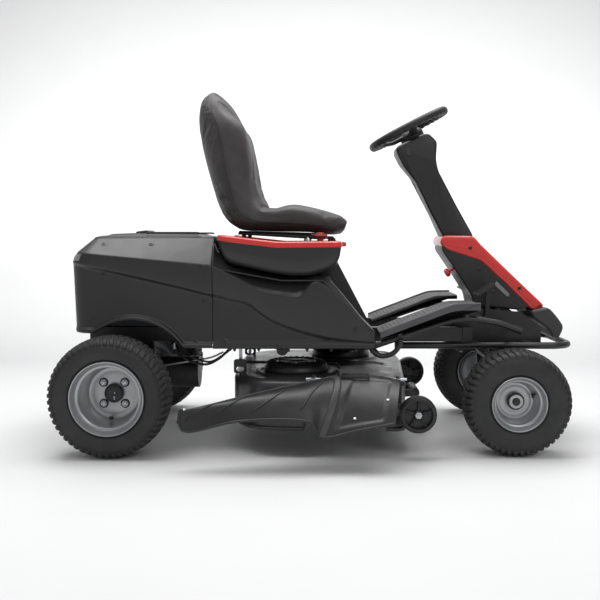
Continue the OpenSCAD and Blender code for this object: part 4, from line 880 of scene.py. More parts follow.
def makeFootMat(name, top, side):
    # rows of long low studs: each is a quarter-ellipse dome, three times as long as wide, set on the slope
    length = np.concatenate([[0], np.cumsum(np.linalg.norm(np.diff(top, axis=0), axis=1))])
    along = np.arange(0.020, length[-1] - 0.015, 0.0135)
    across = np.arange(0.020, 0.184, 0.033)
    row, col = np.meshgrid(np.arange(len(along)), np.arange(len(across)), indexing="ij")
    s = along[row]
    y = across[col] + np.where(row % 2 == 0, 0, 0.0165)
    keep = y < 0.188
    s, y = s[keep], y[keep]
    x = np.interp(s, length, top[:, 0])
    z = np.interp(s, length, top[:, 1])
    slope = np.interp(s, length, np.arctan2(np.gradient(top[:, 1]), np.gradient(top[:, 0])))
    ring, level = np.meshgrid(np.linspace(0, 2 * math.pi, 12, endpoint=False),
            np.array([0, 0.55, 1.0]) * math.pi / 2, indexing="xy")
    stud = np.stack([0.0042 * np.cos(ring) * np.cos(level), 0.0125 * np.sin(ring) * np.cos(level),
            0.0026 * np.sin(level)], -1).reshape(-1, 3)
    dx = stud[None, :, 0] * np.cos(slope)[:, None] - stud[None, :, 2] * np.sin(slope)[:, None]
    dz = stud[None, :, 0] * np.sin(slope)[:, None] + stud[None, :, 2] * np.cos(slope)[:, None]
    points = np.stack([x[:, None] + dx, (footShape["outer"] + y[:, None] + stud[None, :, 1]) * side,
            z[:, None] + dz], -1)
    faces = gridFaces(3, 12, wrapCols=True)[None] + (np.arange(len(s)) * 36)[:, None, None]
    sheet = np.stack([np.stack([top[:, 0], np.full(len(top), (footShape["outer"] + a) * side),
            top[:, 1] + 0.0006], -1) for a in (0.010, 0.196)])
    matFaces = gridFaces(2, len(top)) + len(s) * 36
    points = np.concatenate([points.reshape(-1, 3), sheet.reshape(-1, 3)])
    makePiece(name, points, np.concatenate([faces.reshape(-1, 4), matFaces]), "frame", "stepMat",
            outward=(0, 0, 1))


bumperShape = {"half": 0.180, "z": 0.340, "bend": 0.070, "front": 0.226, "back": -0.385, "radius": 0.012}


def makeBumper():
    # one bent tube: straight runs joined by quarter circles
    s = bumperShape
    front = frontAxle + s["front"]
    angle = np.linspace(0, math.pi / 2, 14)
    corner = np.stack([front - s["bend"] + s["bend"] * np.sin(angle),
            -s["half"] + s["bend"] * (1 - np.cos(angle)), np.full(14, s["z"])], -1)
    start = np.array([[frontAxle + s["back"], -s["half"], s["z"]], [frontAxle, -s["half"], s["z"]]])
    half = np.concatenate([start, corner])
    path = np.concatenate([half, half[::-1] * (1, -1, 1)])
    tube("frontBumper", path, s["radius"], "frame", "blackSteel", sides=20, replaces=("front_bumper",))
    tabs = []
    for side in (-1, 1):
        for x in (-0.105, 0.075):
            tabs.append(moulded(f"bumperTab{side}{x}", ahead([(x - 0.013, 0.346), (x + 0.013, 0.346),
                    (x + 0.013, 0.351), (x - 0.013, 0.351)]), 0.029, 0.001, "frame", "blackSteel",
                    corner=0.001, middle=side * 0.152, steps=3))
        tabs.append(moulded(f"bumperTab{side}", ahead([(-0.381, 0.346), (-0.357, 0.346), (-0.357, 0.352),
                (-0.381, 0.352)]), 0.012, 0.001, "frame", "blackSteel", corner=0.001, middle=side * 0.168,
                steps=3))
    joined("bumperTabs", tabs)


makeColumn()
makeHousings()
makeFootrests()
makeBumper()
print("front ready")


# ---- steering wheel ----
wheelShape = {"radius": 0.140, "grip": 0.0138, "drop": 0.030}


def wheelPoint(right, forward, up):
    # a place in the wheel's own plane: across the machine, up the slope and along the column
    slope = np.array([math.cos(columnTilt), 0, math.sin(columnTilt)])
    right, forward, up = np.broadcast_arrays(right, forward, up)
    return wheelCentre + right[..., None] * np.array([0, 1.0, 0]) + forward[..., None] * slope + up[...,
            None] * columnUp


def makeSteeringWheel():
    s = wheelShape
    turn = np.linspace(0, 2 * math.pi, 240, endpoint=False)[:, None]
    ring = np.linspace(0, 2 * math.pi, 28, endpoint=False)[None]
    # the grip swells at the hands and has shallow finger waves on its underside
    waves = 0.0011 * np.cos(turn * 36) * smoothStep(-np.sin(ring), 0.0, 0.9)
    size = s["grip"] * (1 + 0.05 * np.cos(2 * turn)) + waves
    out = s["radius"] + size * np.cos(ring)
    grid = wheelPoint(out * np.sin(turn), out * np.cos(turn), size * np.sin(ring) * 1.02)
    rim = makePiece("wheelRim", grid, gridFaces(240, 28, wrapCols=True, wrapRows=True), "steering",
            "wheelGrip")
    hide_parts("steering_wheel")
    # three spokes: an oval section carried from the hub out and up into the rim
    for i, direction in enumerate((90, 180, 270)):
        angle = math.radians(direction)
        t = np.linspace(0, 1, 22)[:, None]
        radial = 0.024 + (s["radius"] - 0.024) * t
        lift = -s["drop"] + 0.010 + (s["drop"] - 0.012) * smoothStep(t, 0.35, 1.0)
        half = 0.027 - 0.012 * smoothStep(t, 0.0, 0.7) + 0.006 * smoothStep(t, 0.8, 1.0)
        thick = 0.0085 - 0.002 * t
        phi = np.linspace(0, 2 * math.pi, 20, endpoint=False)[None]
        sideways = half * np.sign(np.cos(phi)) * np.abs(np.cos(phi)) ** 0.7
        above = lift + thick * np.sign(np.sin(phi)) * np.abs(np.sin(phi)) ** 0.8
        grid = wheelPoint(radial * math.sin(angle) + sideways * math.cos(angle),
                radial * math.cos(angle) - sideways * math.sin(angle), above)
        faces = gridFaces(22, 20, wrapCols=True).tolist() + [list(range(20)), list(range(21 * 20, 22 * 20))]
        makePiece(f"wheelSpoke{i + 1}", grid, faces, "steering", "wheelGrip")
    turned("wheelHub", [(0.0, -0.058), (0.034, -0.058), (0.041, -0.050), (0.044, -0.030), (0.042, -0.018),
            (0.036, -0.012), (0.0, -0.012)], wheelCentre, columnUp, "steering", "wheelGrip")
    turned("hubPad", [(0.0, -0.006), (0.024, -0.007), (0.034, -0.010), (0.0375, -0.014), (0.037, -0.017),
            (0.0, -0.017)], wheelCentre, columnUp, "steering", "blackPlastic")


makeSteeringWheel()
print("steering wheel ready")


# ---- knobs and levers ----
def makeControls():
    away = np.array([-0.83205, 0, -0.5547])
    base = np.array([frontAxle - 0.1687, -0.060, 0.600])
    angle = np.linspace(0, 2 * math.pi, 72, endpoint=False)
    profile = np.array([(0.0048, -0.02), (0.0048, 0.014), (0.0125, 0.0165), (0.0150, 0.020),
            (0.0155, 0.026), (0.0140, 0.0305), (0.0090, 0.0325), (0.0, 0.033)])
    grid = turnedPoints(profile, base, away, 72)
    flute = 1 - 0.05 * np.clip(np.cos(angle * 12), 0, 1)[None, :, None] * (profile[:, 0] > 0.012)[:, None,
            None]
    axisPoint = base + profile[:, 1, None, None] * away
    grid = axisPoint + (grid - axisPoint) * flute
    makePiece("bladeKnob", grid, gridFaces(8, 72, wrapCols=True), "knob", "redPlastic", ("blade_knob",))
    # the lift lever: a flat bar with a mushroom grip
    low, high = lowOf("lift_lever"), highOf("lift_lever")
    softened("lift_lever", "blackSteel", "lift", 0.001)
    grip = np.array([high[0] - 0.024, (low[1] + high[1]) / 2, high[2]])
    turned("liftGrip", [(0.0, -0.050), (0.0098, -0.050), (0.0115, -0.044), (0.010, -0.026),
            (0.0105, -0.018), (0.018, -0.014), (0.0245, -0.009), (0.0250, -0.005), (0.021, -0.001),
            (0.011, 0.002), (0.0, 0.0028)], grip, (0, 0, 1), "lift", "redPlastic", sides=48)
    # the seat latch: a rod with a moulded tip
    softened("seat_lever", "blackSteel", "seat_latch", 0.0008)
    tip = np.array([highOf("seat_lever")[0], middleOf("seat_lever")[1] - machine[1], 0.689])
    turned("latchTip", [(0.0, -0.050), (0.0055, -0.050), (0.0072, -0.044), (0.0068, -0.020),
            (0.0078, -0.010), (0.0078, -0.003), (0.005, 0.0008), (0.0, 0.0012)], tip, (1, 0, 0),
            "seat_latch", "redPlastic", sides=32)
    # pale bushings and the dark bar under the cushion
    for side in (-1, 1):
        turned("seatBushing" + sideName(side), [(0.0, -0.018), (0.010, -0.018), (0.0125, -0.015),
                (0.0125, 0.006), (0.010, 0.010), (0.0, 0.010)], (0.640, side * 0.168, 0.706), (0, 0, 1),
                "seat", "zincSteel", sides=32)
        moulded("seatBar" + sideName(side), [(0.400, 0.722), (0.402, 0.731), (0.700, 0.718), (0.704, 0.708),
                (0.696, 0.704)], 0.012, 0.003, "seat", "blackSteel", corner=0.003, middle=side * 0.168,
                steps=4)


makeControls()
print("controls ready")


# ---- cutting deck ----
deckShape = {
    "middle": 0.5135, "top": 0.250, "bottom": 0.090, "half": 0.390, "corner": 0.075, "shoulder": 0.026,
    "spindles": ((0.6015, -0.185), (0.7645, 0.185)),
    "plan": [(-0.125, -0.240), (-0.050, -0.370), (0.060, -0.390), (0.390, -0.390), (0.450, -0.360),
        (0.490, 0.240), (0.465, 0.370), (0.400, 0.390), (0.100, 0.390), (-0.060, 0.360), (-0.130, 0.250),
        (-0.138, 0.060)],
}


# the hinge line that the chute turns about, fore and aft beside the deck
hingeY = -0.412
hingeZ = 0.260


def deckOutline(count):
    # the plan with round corners, walked at even steps
    s = deckShape
    loop = rounded([(s["middle"] + x, y) for x, y in s["plan"]], s["corner"], 12, loop=True)
    closed = np.concatenate([loop, loop[:1]])
    length = np.concatenate([[0], np.cumsum(np.linalg.norm(np.diff(closed, axis=0), axis=1))])
    at = np.linspace(0, length[-1], count, endpoint=False)
    return np.stack([np.interp(at, length, closed[:, 0]), np.interp(at, length, closed[:, 1])], -1)


def makeDeckShell():
    s = deckShape
    around = 360
    outline = deckOutline(around)
    centre = np.array([s["middle"] + 0.175, 0.0])
    angle = np.linspace(0, math.pi / 2, 8)
    edge = inset(outline, s["shoulder"])
    rows = [centre + (edge - centre) * t for t in np.linspace(0.02, 1, 34)]
    heights = [np.full(around, s["top"])] * 34
    rows += [inset(outline, s["shoulder"] * (1 - math.sin(a))) for a in angle[1:]]
    heights += [np.full(around, s["top"] - s["shoulder"] * (1 - math.cos(a))) for a in angle[1:]]
    # the skirt's lower edge: level, but lifted over the discharge opening on the right
    opening = smoothStep(outline[:, 0], s["middle"] + 0.118, s["middle"] + 0.134) \
        * smoothStep(outline[:, 0], s["middle"] + 0.386, s["middle"] + 0.368) * (outline[:, 1] < -0.34)
    low = s["bottom"] + opening * 0.132
    start = s["top"] - s["shoulder"]
    for t in np.linspace(0.08, 1, 12):
        rows.append(inset(outline, 0.0))
        heights.append(start + (low - start) * t)
    for out, up in ((-0.003, -0.0005), (-0.005, 0.0015), (-0.0052, 0.005), (-0.003, 0.0065)):
        rows.append(inset(outline, out))
        heights.append(low + up)
    grid = np.stack([np.concatenate([r, h[:, None]], 1) for r, h in zip(rows, heights)])
    # pressed rings round each spindle and a long shallow channel between them
    x, y = grid[..., 0], grid[..., 1]
    onTop = grid[..., 2] > s["top"] - 0.001
    rise = np.zeros_like(x)
    for sx, sy in s["spindles"]:
        away = np.hypot(x - sx, y - sy)
        rise += 0.0045 * (smoothStep(away, 0.146, 0.136) - smoothStep(away, 0.122, 0.116))
    rise -= 0.006 * smoothStep(np.abs(y), 0.05, 0.02) * smoothStep(x, s["middle"] + 0.42,
            s["middle"] + 0.40)
    rise -= 0.010 * smoothStep(x, s["middle"] + 0.36, s["middle"] + 0.45)
    grid[..., 2] += rise * np.where(onTop, 1, 0.4)
    grid[..., 2] = np.minimum(grid[..., 2], s["top"] + 0.006)
    shell = makePiece("deckShell", grid, gridFaces(len(rows), around, wrapCols=True), "deck", "deckPaint",
            ("deck_shell",), outward=(0, 0, 1), sharp=50)
    addWall(shell, 0.003)
    # welded strips along the skirt and the ledges that carry the hinge and hangers
    trims = []
    for x in (s["middle"] + 0.148, s["middle"] + 0.418):
        trims.append(moulded(f"hingeEar{x}", [(x - 0.008, 0.246), (x + 0.008, 0.246), (x + 0.008, 0.263),
                (x + 0.004, 0.268), (x - 0.004, 0.268), (x - 0.008, 0.263)], 0.025, 0.0015, "deck",
                "deckPaint", corner=0.002, middle=-0.391, steps=3))
    joined("hingeEars", trims)
    tube("hingeRod", [(s["middle"] + 0.124, hingeY, hingeZ), (s["middle"] + 0.446, hingeY, hingeZ)], 0.005,
            "deck", "zincSteel", sides=16)
    for side in (-1, 1):
        makeHangerEar(side)


def makeHangerEar(side):
    # an upright tab with a slot, folded from the deck's top
    label = sideName(side)
    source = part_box("deck_hangers")
    x = (source[0][0] + source[1][0]) / 2 - machine[0]
    low = 0.262
    y = side * (source[1][1] - source[0][1]) / 2 + side * 0.0095
    outline = rounded([(x - 0.022, 0.247), (x + 0.022, 0.247), (x + 0.022, 0.296), (x - 0.022, 0.296)],
            0.010, 6, loop=True)
    slotRing = np.array([(x + math.copysign(0.0045, math.cos(a)) + 0.0085 * math.cos(a),
            low + 0.0085 * math.sin(a)) for a in np.linspace(0.01, 2 * math.pi + 0.01, len(outline),
            endpoint=False)])
    start = np.argmin(np.linalg.norm(slotRing - outline[0], axis=1))
    slotRing = np.roll(slotRing, -start, 0)
    rings = [np.column_stack([r[:, 0], np.full(len(r), yy), r[:, 1]])
            for r, yy in ((outline, y - 0.0025), (outline, y + 0.0025), (slotRing, y + 0.0025),
            (slotRing, y - 0.0025))]
    piece = makePiece("hangerEar" + label, np.concatenate(rings),
            gridFaces(4, len(outline), wrapCols=True, wrapRows=True), "deck", "deckPaint")
    addBevel(piece, 0.0008)


motorShape = {
    "profile": [(0.0, 0.0400), (0.020, 0.0400), (0.024, 0.0385), (0.060, 0.0385), (0.064, 0.0400),
        (0.082, 0.0385), (0.096, 0.0345), (0.105, 0.0275), (0.1095, 0.0190), (0.1110, 0.0120),
        (0.1120, 0.0115), (0.1120, 0.0090), (0.1095, 0.0085), (0.1090, 0.0050), (0.1120, 0.0045),
        (0.1120, 0.0008), (0.0, 0.0008)],
    "fins": 24,
}


def makeMotors():
    parts = []
    for i, (x, y) in enumerate(deckShape["spindles"]):
        label = sideName(y)
        cap = turned("motorCap" + label, motorShape["profile"], (x, y, deckShape["top"]), (0, 0, 1), "deck",
                "motorBlack", sides=96, replaces=("deck_motors",) if i == 0 else ())
        parts.append(cap)
        # cooling fins round the shoulder: thin upright plates following the dome
        angle = np.linspace(0, 2 * math.pi, motorShape["fins"], endpoint=False)
        for a in angle:
            parts.append(makeFin(x, y, a))
        for a in np.linspace(math.pi / 6, 2 * math.pi + math.pi / 6, 6, endpoint=False):
            turned(f"motorScrew{label}{round(math.degrees(a))}",
                    [(0.0, 0.0025), (0.0024, 0.0025), (0.0026, 0.0045), (0.0042, 0.0045), (0.0046, 0.0025),
                    (0.0046, -0.002), (0.0, -0.002)], (x + 0.074 * math.cos(a), y + 0.074 * math.sin(a),
                    deckShape["top"] + 0.0375), (0, 0, 1), "deck", "zincSteel", sides=20)
        # a short lead for the cable that runs up and forward
        lead = throughPoints([(x + 0.094, y + 0.020, 0.272), (x + 0.120, y + 0.024, 0.276),
                (x + 0.140, y + 0.028, 0.270), (x + 0.150, y + 0.030, 0.256)], 20)
        tube("motorLead" + label, lead, 0.0045, "deck", "nylonBlack", sides=12)
    caps = [p for p in parts if p.name.startswith("motorCap")]
    joined("motorFins", [p for p in parts if p not in caps])


def makeFin(x, y, a):
    radial = np.linspace(0.066, 0.1065, 9)
    top = deckShape["top"] + np.interp(radial, [0.060, 0.082, 0.096, 0.105, 0.1095],
            [0.0405, 0.0400, 0.0365, 0.0300, 0.0210]) + 0.001
    base = top - 0.006
    half = 0.0011
    out = np.array([math.cos(a), math.sin(a)])
    side = np.array([-math.sin(a), math.cos(a)])
    grid = [np.column_stack([x + radial * out[0] + w * side[0], y + radial * out[1] + w * side[1], z])
            for w, z in ((-half, base), (-half, top), (half, top), (half, base))]
    faces = gridFaces(4, 9, wrapRows=True).tolist() + [[0, 9, 18, 27], [8, 17, 26, 35]]
    return makePiece(f"fin{x:.3f}{a:.2f}", np.concatenate(grid), faces, "deck", "motorBlack")


# ---- discharge chute ----
chuteShape = {
    "inner": [(0.425, -0.428, 0.262), (0.342, -0.420, 0.274), (0.244, -0.420, 0.274),
        (0.086, -0.465, 0.250), (-0.064, -0.510, 0.222), (-0.181, -0.545, 0.198), (-0.250, -0.560, 0.185)],
    "outer": [(0.397, -0.573, 0.152), (0.286, -0.573, 0.130), (0.173, -0.573, 0.107),
        (0.128, -0.573, 0.158), (-0.070, -0.573, 0.158), (-0.229, -0.573, 0.124), (-0.262, -0.573, 0.152)],
    "bow": 0.012, "ribs": 4,
}


def chutePoint(s, t, lift=0.0):
    # a sheet between the hinge edge and the outer edge, bowed upwards, with a hollow in its front cheek
    s, t, lift = np.broadcast_arrays(np.asarray(s, float), np.asarray(t, float), np.asarray(lift, float))
    base = np.array([deckShape["middle"], 0, 0])
    fine = np.linspace(0, 1, 400)
    inner = throughPoints(chuteShape["inner"], 400) + base
    outer = throughPoints(chuteShape["outer"], 400) + base
    at = [np.interp(s, fine, inner[:, k]) for k in range(3)]
    to = [np.interp(s, fine, outer[:, k]) for k in range(3)]
    ease = t + 0.10 * np.sin(math.pi * t)
    drop = t ** 1.25
    bow = chuteShape["bow"] * np.sin(math.pi * np.clip(t, 0, 1)) * (0.6 + 0.8 * smoothStep(s, 0.15, 0.34))
    cheek = smoothStep(s, 0.045, 0.075) * smoothStep(s, 0.285, 0.255) * smoothStep(t, 0.10, 0.20) \
        * smoothStep(t, 0.93, 0.86)
    x = at[0] + (to[0] - at[0]) * t
    y = at[1] + (to[1] - at[1]) * ease - lift * 0.6
    z = at[2] + (to[2] - at[2]) * drop + bow + lift * 0.8
    return np.stack([x, np.maximum(y + 0.0035 * cheek, -0.575), z - 0.0035 * cheek], -1)


def makeChute():
    s = np.linspace(0, 1, 240)[:, None]
    t = np.linspace(0, 1, 44)[None]
    grid = chutePoint(s, t)
    sheet = makePiece("chuteSheet", grid, gridFaces(240, 44), "chute", "blackPlastic", ("discharge_chute",),
            outward=(0, -0.5, 1), sharp=48)
    addWall(sheet, 0.0035)
    # thin slanting ribs over the long panel
    ribs = []
    for i in range(chuteShape["ribs"]):
        start = 0.40 + 0.125 * i
        q = np.linspace(0, 1, 26)
        path = chutePoint(start + 0.115 * q, 0.16 + 0.66 * q, 0.0006)
        # each rib rises from nothing and sinks back over an eighth of its length
        swell = np.sin(np.clip(q * 8, 0, 1) * math.pi / 2)
        fade = np.sin(np.clip((1 - q) * 8, 0, 1) * math.pi / 2)
        ribs.append(tube(f"chuteRib{i}", path, 0.0022 * swell * fade + 0.0003, "chute", "blackPlastic", sides=8))
    joined("chuteRibs", ribs)
    # the broad raised band where the cheek turns into the long panel
    q = np.linspace(0, 1, 60)
    centre = 0.335 - 0.055 * np.sin(q * math.pi / 2) * (1 - q) + 0.03 * (1 - q) ** 2
    across = np.linspace(-1, 1, 13)
    rise = 0.0052 * (1 - across ** 4)
    band = chutePoint(centre[:, None] + 0.024 * across[None] * (0.7 + 0.5 * q[:, None]),
            0.02 + 0.975 * q[:, None], rise[None] - 0.001)
    addWall(makePiece("chuteBand", band, gridFaces(60, 13), "chute", "nosePlastic", outward=(0, -0.5, 1)),
            0.003)
    # rolled edge along the outer side and round the rear end
    rim = np.concatenate([chutePoint(np.linspace(0.005, 1, 110), 0.99),
            chutePoint(1.0, np.linspace(0.95, 0.02, 20)), chutePoint(np.linspace(0.99, 0.36, 60), 0.01)])
    tube("chuteEdge", rim, 0.0042, "chute", "blackPlastic", sides=10, upward=(0.1, 0.2, 1))
    # hinge loops, their flat leaves and rivets
    loops = []
    for x0 in (0.190, 0.330):
        x0 = deckShape["middle"] + x0
        loops.append(turned(f"hingeLoop{x0}", [(0.0, 0.0), (0.0098, 0.0), (0.0108, 0.001), (0.0108, 0.039),
                (0.0098, 0.040), (0.0, 0.040)], (x0, hingeY, hingeZ), (1, 0, 0), "chute", "blackPlastic",
                sides=32))
        loops.append(moulded(f"hingeLeaf{x0}", [(x0, 0.262), (x0 + 0.040, 0.262), (x0 + 0.040, 0.271),
                (x0, 0.271)], 0.016, 0.002, "chute", "blackPlastic", corner=0.002, middle=-0.422, steps=3))
    joined("hingeLoops", loops)
    # the raised frame of the hinge box: ribs round a shallow tray
    box = deckShape["middle"] + np.array([0.236, 0.326])
    places = ((box[0], box[0] + 0.004, 0.018, -0.430), (box[1] - 0.004, box[1], 0.018, -0.430),
              (box[0], box[1], 0.002, -0.447), (box[0], box[1], 0.002, -0.414))
    walls = []
    for i, (a, b, half, middle) in enumerate(places):
        walls.append(moulded(f"trayRib{i}", [(a, 0.268), (b, 0.268), (b, 0.2795), (a, 0.2795)], half, 0.0012,
                             "chute", "blackPlastic", corner=0.001, middle=middle, steps=3))
    joined("hingeTray", walls)
    # the spring that shuts the chute, wound on the hinge rod
    turns = np.linspace(0, 2 * math.pi * 9, 260)
    coil = np.stack([deckShape["middle"] + 0.378 + 0.028 * np.linspace(0, 1, 260),
            hingeY + 0.0078 * np.cos(turns), hingeZ + 0.0078 * np.sin(turns)], -1)
    tail = np.array([[coil[-1][0] + 0.004, -0.414, 0.270], [coil[-1][0] + 0.008, -0.402, 0.264],
            [coil[-1][0] + 0.010, -0.386, 0.256]])
    tube("chuteSpring", np.concatenate([coil, tail]), 0.0012, "deck", "zincSteel", sides=8,
         upward=(1, 0, 0.01))
    for x, t in ((0.055, 0.55), (0.20, 0.80), (0.97, 0.30)):
        at = chutePoint(x, t, 0.001)
        turned(f"chuteRivet{x}", [(0.0, 0.0022), (0.003, 0.0019), (0.0048, 0.0008), (0.0052, -0.0005),
                (0.0, -0.0005)], at, (0, -0.55, 0.83), "chute", "zincSteel", sides=20)


# ---- gauge wheels and roller ----
def makeGaugeWheel(node, body, label):
    centre = middleOf(node) - machine
    turned("gaugeTread" + label, [(0.0460, -0.0185), (0.0500, -0.0200), (0.0545, -0.0192),
            (0.0590, -0.0150), (0.0600, -0.0080), (0.0600, 0.0080), (0.0590, 0.0150), (0.0545, 0.0192),
            (0.0500, 0.0200), (0.0460, 0.0185), (0.0445, 0.0080), (0.0445, -0.0080)], centre, (0, 1, 0),
            body, "nylonBlack", sides=96, loop=True, replaces=(node,))
    turned("gaugeWeb" + label, [(0.0452, -0.0030), (0.0452, 0.0030), (0.0150, 0.0030), (0.0150, -0.0030)],
            centre, (0, 1, 0), body, "nylonBlack", sides=96, loop=True)
    turned("gaugeHub" + label, [(0.0076, -0.0195), (0.0130, -0.0195), (0.0150, -0.0175), (0.0158, -0.0030),
            (0.0158, 0.0030), (0.0150, 0.0175), (0.0130, 0.0195), (0.0076, 0.0195)], centre, (0, 1, 0),
            body, "nylonBlack", sides=48, loop=True)
    spokes = []
    for a in np.linspace(0.3, 0.3 + 2 * math.pi, 5, endpoint=False):
        out, across = np.array([math.cos(a), math.sin(a)]), np.array([-math.sin(a), math.cos(a)])
        outline = [centre[[0, 2]] + out * r + across * w for r, w in ((0.0135, -0.0042), (0.0455, -0.0028),
                (0.0455, 0.0028), (0.0135, 0.0042))]
        spokes.append(moulded(f"spoke{label}{a:.2f}", outline, 0.0150, 0.0015, body, "nylonBlack",
                corner=0.001, middle=centre[1], steps=3))
    joined("gaugeSpokes" + label, spokes)
    side = -1 if centre[1] < 0 else 1
    turned("gaugeBolt" + label, [(0.0, 0.0262), (0.0058, 0.0262), (0.0066, 0.0250), (0.0066, 0.0215),
            (0.0110, 0.0213), (0.0112, 0.0203), (0.0, 0.0203)], centre, (0, side, 0), "deck", "zincSteel",
            sides=6, sharp=25)


def makeGaugeArm(node, side, fromX):
    centre = middleOf(node) - machine
    y = centre[1] - side * 0.026
    x0 = deckShape["middle"] + fromX
    outline = [(x0, centre[2] - 0.012), (x0, centre[2] + 0.030), (centre[0] - 0.020, centre[2] + 0.030),
            (centre[0] + 0.012, centre[2] + 0.008), (centre[0] + 0.012, centre[2] - 0.012)]
    label = sideName(side)
    moulded("gaugeArm" + label, outline, 0.003, 0.001, "deck", "deckPaint", corner=0.008, middle=y, steps=3)
    for x in (x0 + 0.014, x0 + 0.040):
        turned(f"armBolt{label}{x:.3f}", [(0.0, 0.0085), (0.0060, 0.0085), (0.0068, 0.0075),
                (0.0068, 0.0032), (0.0095, 0.0030), (0.0095, 0.0020), (0.0, 0.0020)],
                (x, y, centre[2] + 0.008), (0, side, 0), "deck", "zincSteel", sides=6, sharp=25)


def makeRoller():
    centre = middleOf("front_roller") - machine
    turned("rollerBarrel", [(0.0076, -0.0595), (0.0165, -0.0595), (0.0190, -0.0575), (0.0200, -0.0540),
            (0.0200, -0.0220), (0.0188, -0.0205), (0.0188, 0.0205), (0.0200, 0.0220), (0.0200, 0.0540),
            (0.0190, 0.0575), (0.0165, 0.0595), (0.0076, 0.0595)], centre, (0, 1, 0), "roller",
            "nylonBlack", sides=64, loop=True, replaces=("front_roller",))
    for side in (-1, 1):
        moulded(f"rollerArm{side > 0}", [(centre[0] - 0.050, 0.164), (centre[0] - 0.012, 0.164),
                (centre[0] + 0.013, 0.158), (centre[0] + 0.013, 0.142), (centre[0] - 0.050, 0.136)], 0.003,
                0.001, "deck", "deckPaint", corner=0.008, middle=side * 0.066, steps=3)


makeDeckShell()
makeMotors()
makeChute()
for node, body, label, side, fromX in (("gauge_wheel_right", "gauge_right", "Right", -1, 0.400),
                                       ("gauge_wheel_left", "gauge_left", "Left", 1, 0.415)):
    makeGaugeWheel(node, body, label)
    makeGaugeArm(node, side, fromX)
makeRoller()
print("deck ready")


# ---- wheels ----
# Turf tread: blocks in rows across the tyre. A block is where a slanted sawtooth round the tyre
# and a window across it are both inside their limits, with sides that slope over a few millimetres.
def treadHeight(angle, across, half, count):
    height = np.zeros(np.broadcast(angle, across).shape)
    where = np.abs(across) / half
    rows = ((0.00, 0.17, 0.0, 0.58, 0.0), (0.26, 0.52, 0.5, 0.56, 0.9), (0.60, 0.80, 0.0, 0.52, 1.1),
            (0.86, 1.22, 0.45, 0.50, 0.5))
    for low, high, shift, fill, slant in rows:
        turn = angle * count / (2 * math.pi) + shift + slant * where + 0.5 * (across > 0)
        saw = np.abs((turn % 1.0) - 0.5) * 2
        window = smoothStep(where, low - 0.04, low) * smoothStep(where, high + 0.03, high)
        height = np.maximum(height, smoothStep(saw, fill + 0.16,
                fill) * (window if low else smoothStep(where, high + 0.03, high)))
    return height


def makeTyre(node, body, label, rimRadius):
    low, high = lowOf(node), highOf(node)
    centre = (low + high) / 2
    radius, width = (high[2] - low[2]) / 2, high[1] - low[1]
    bead = rimRadius - 0.005
    block = 0.0058
    outer = radius - block
    # the carcass from one bead to the other, then back round inside it
    knots = [(bead, -0.395), (bead + 0.008, -0.410), (bead + 0.016, -0.455), (bead + 0.034, -0.492),
            ((radius + bead) / 2 + 0.006, -0.499), (radius - 0.028, -0.478), (radius - 0.0165, -0.435),
            (outer - 0.0045, -0.370), (outer - 0.0015, -0.270), (outer, -0.120), (outer, 0.0)]
    knots += [(r, -w) for r, w in knots[-2::-1]]
    section = throughPoints(knots, 98)
    section = np.column_stack([section[:, 0], section[:, 1] * width])
    around = 640
    angle = np.linspace(0, 2 * math.pi, around, endpoint=False)[:, None]
    across = section[None, :, 1]
    base = section[None, :, 0]
    step = np.gradient(section, axis=0)
    normal = np.column_stack([step[:, 1], -step[:, 0]])
    normal /= np.linalg.norm(normal, axis=1, keepdims=True)
    arc = np.cumsum(np.concatenate([[0], np.linalg.norm(np.diff(section, axis=0), axis=1)]))
    arc = arc - arc[-1] / 2
    rise = treadHeight(angle, arc[None] * np.ones_like(angle), width * 0.40,
            54 if radius > 0.18 else 48) * block
    # two fine rings on the sidewall and a rim guard next to the bead
    ring = 0.0007 * (np.exp(-((base - bead - 0.026) / 0.0013) ** 2) + np.exp(-((base - bead - 0.0125)
            / 0.0016) ** 2) + 0.8 * np.exp(-((base - radius + 0.044) / 0.0011) ** 2))
    rise = rise * (base > radius - 0.036) + ring
    r = base + normal[None, :, 0] * rise
    y = across + normal[None, :, 1] * rise
    r = np.minimum(r, radius)
    y = np.clip(y, -width / 2 - 0.001, width / 2 + 0.001)
    inner = np.array([(bead, 0.30), (radius - 0.05, 0.33), (radius - 0.05, -0.33), (bead, -0.30)])
    r = np.concatenate([r, np.broadcast_to(inner[None, :, 0], (around, 4))], 1)
    y = np.concatenate([y, np.broadcast_to(inner[None, :, 1] * width, (around, 4))], 1)
    grid = np.stack([centre[0] + r * np.cos(angle), centre[1] + y, centre[2] + r * np.sin(angle)], -1)
    makePiece("tyre" + label, grid, gridFaces(around, grid.shape[1], wrapCols=True, wrapRows=True), body,
            "tyreRubber", (node,), sharp=34)


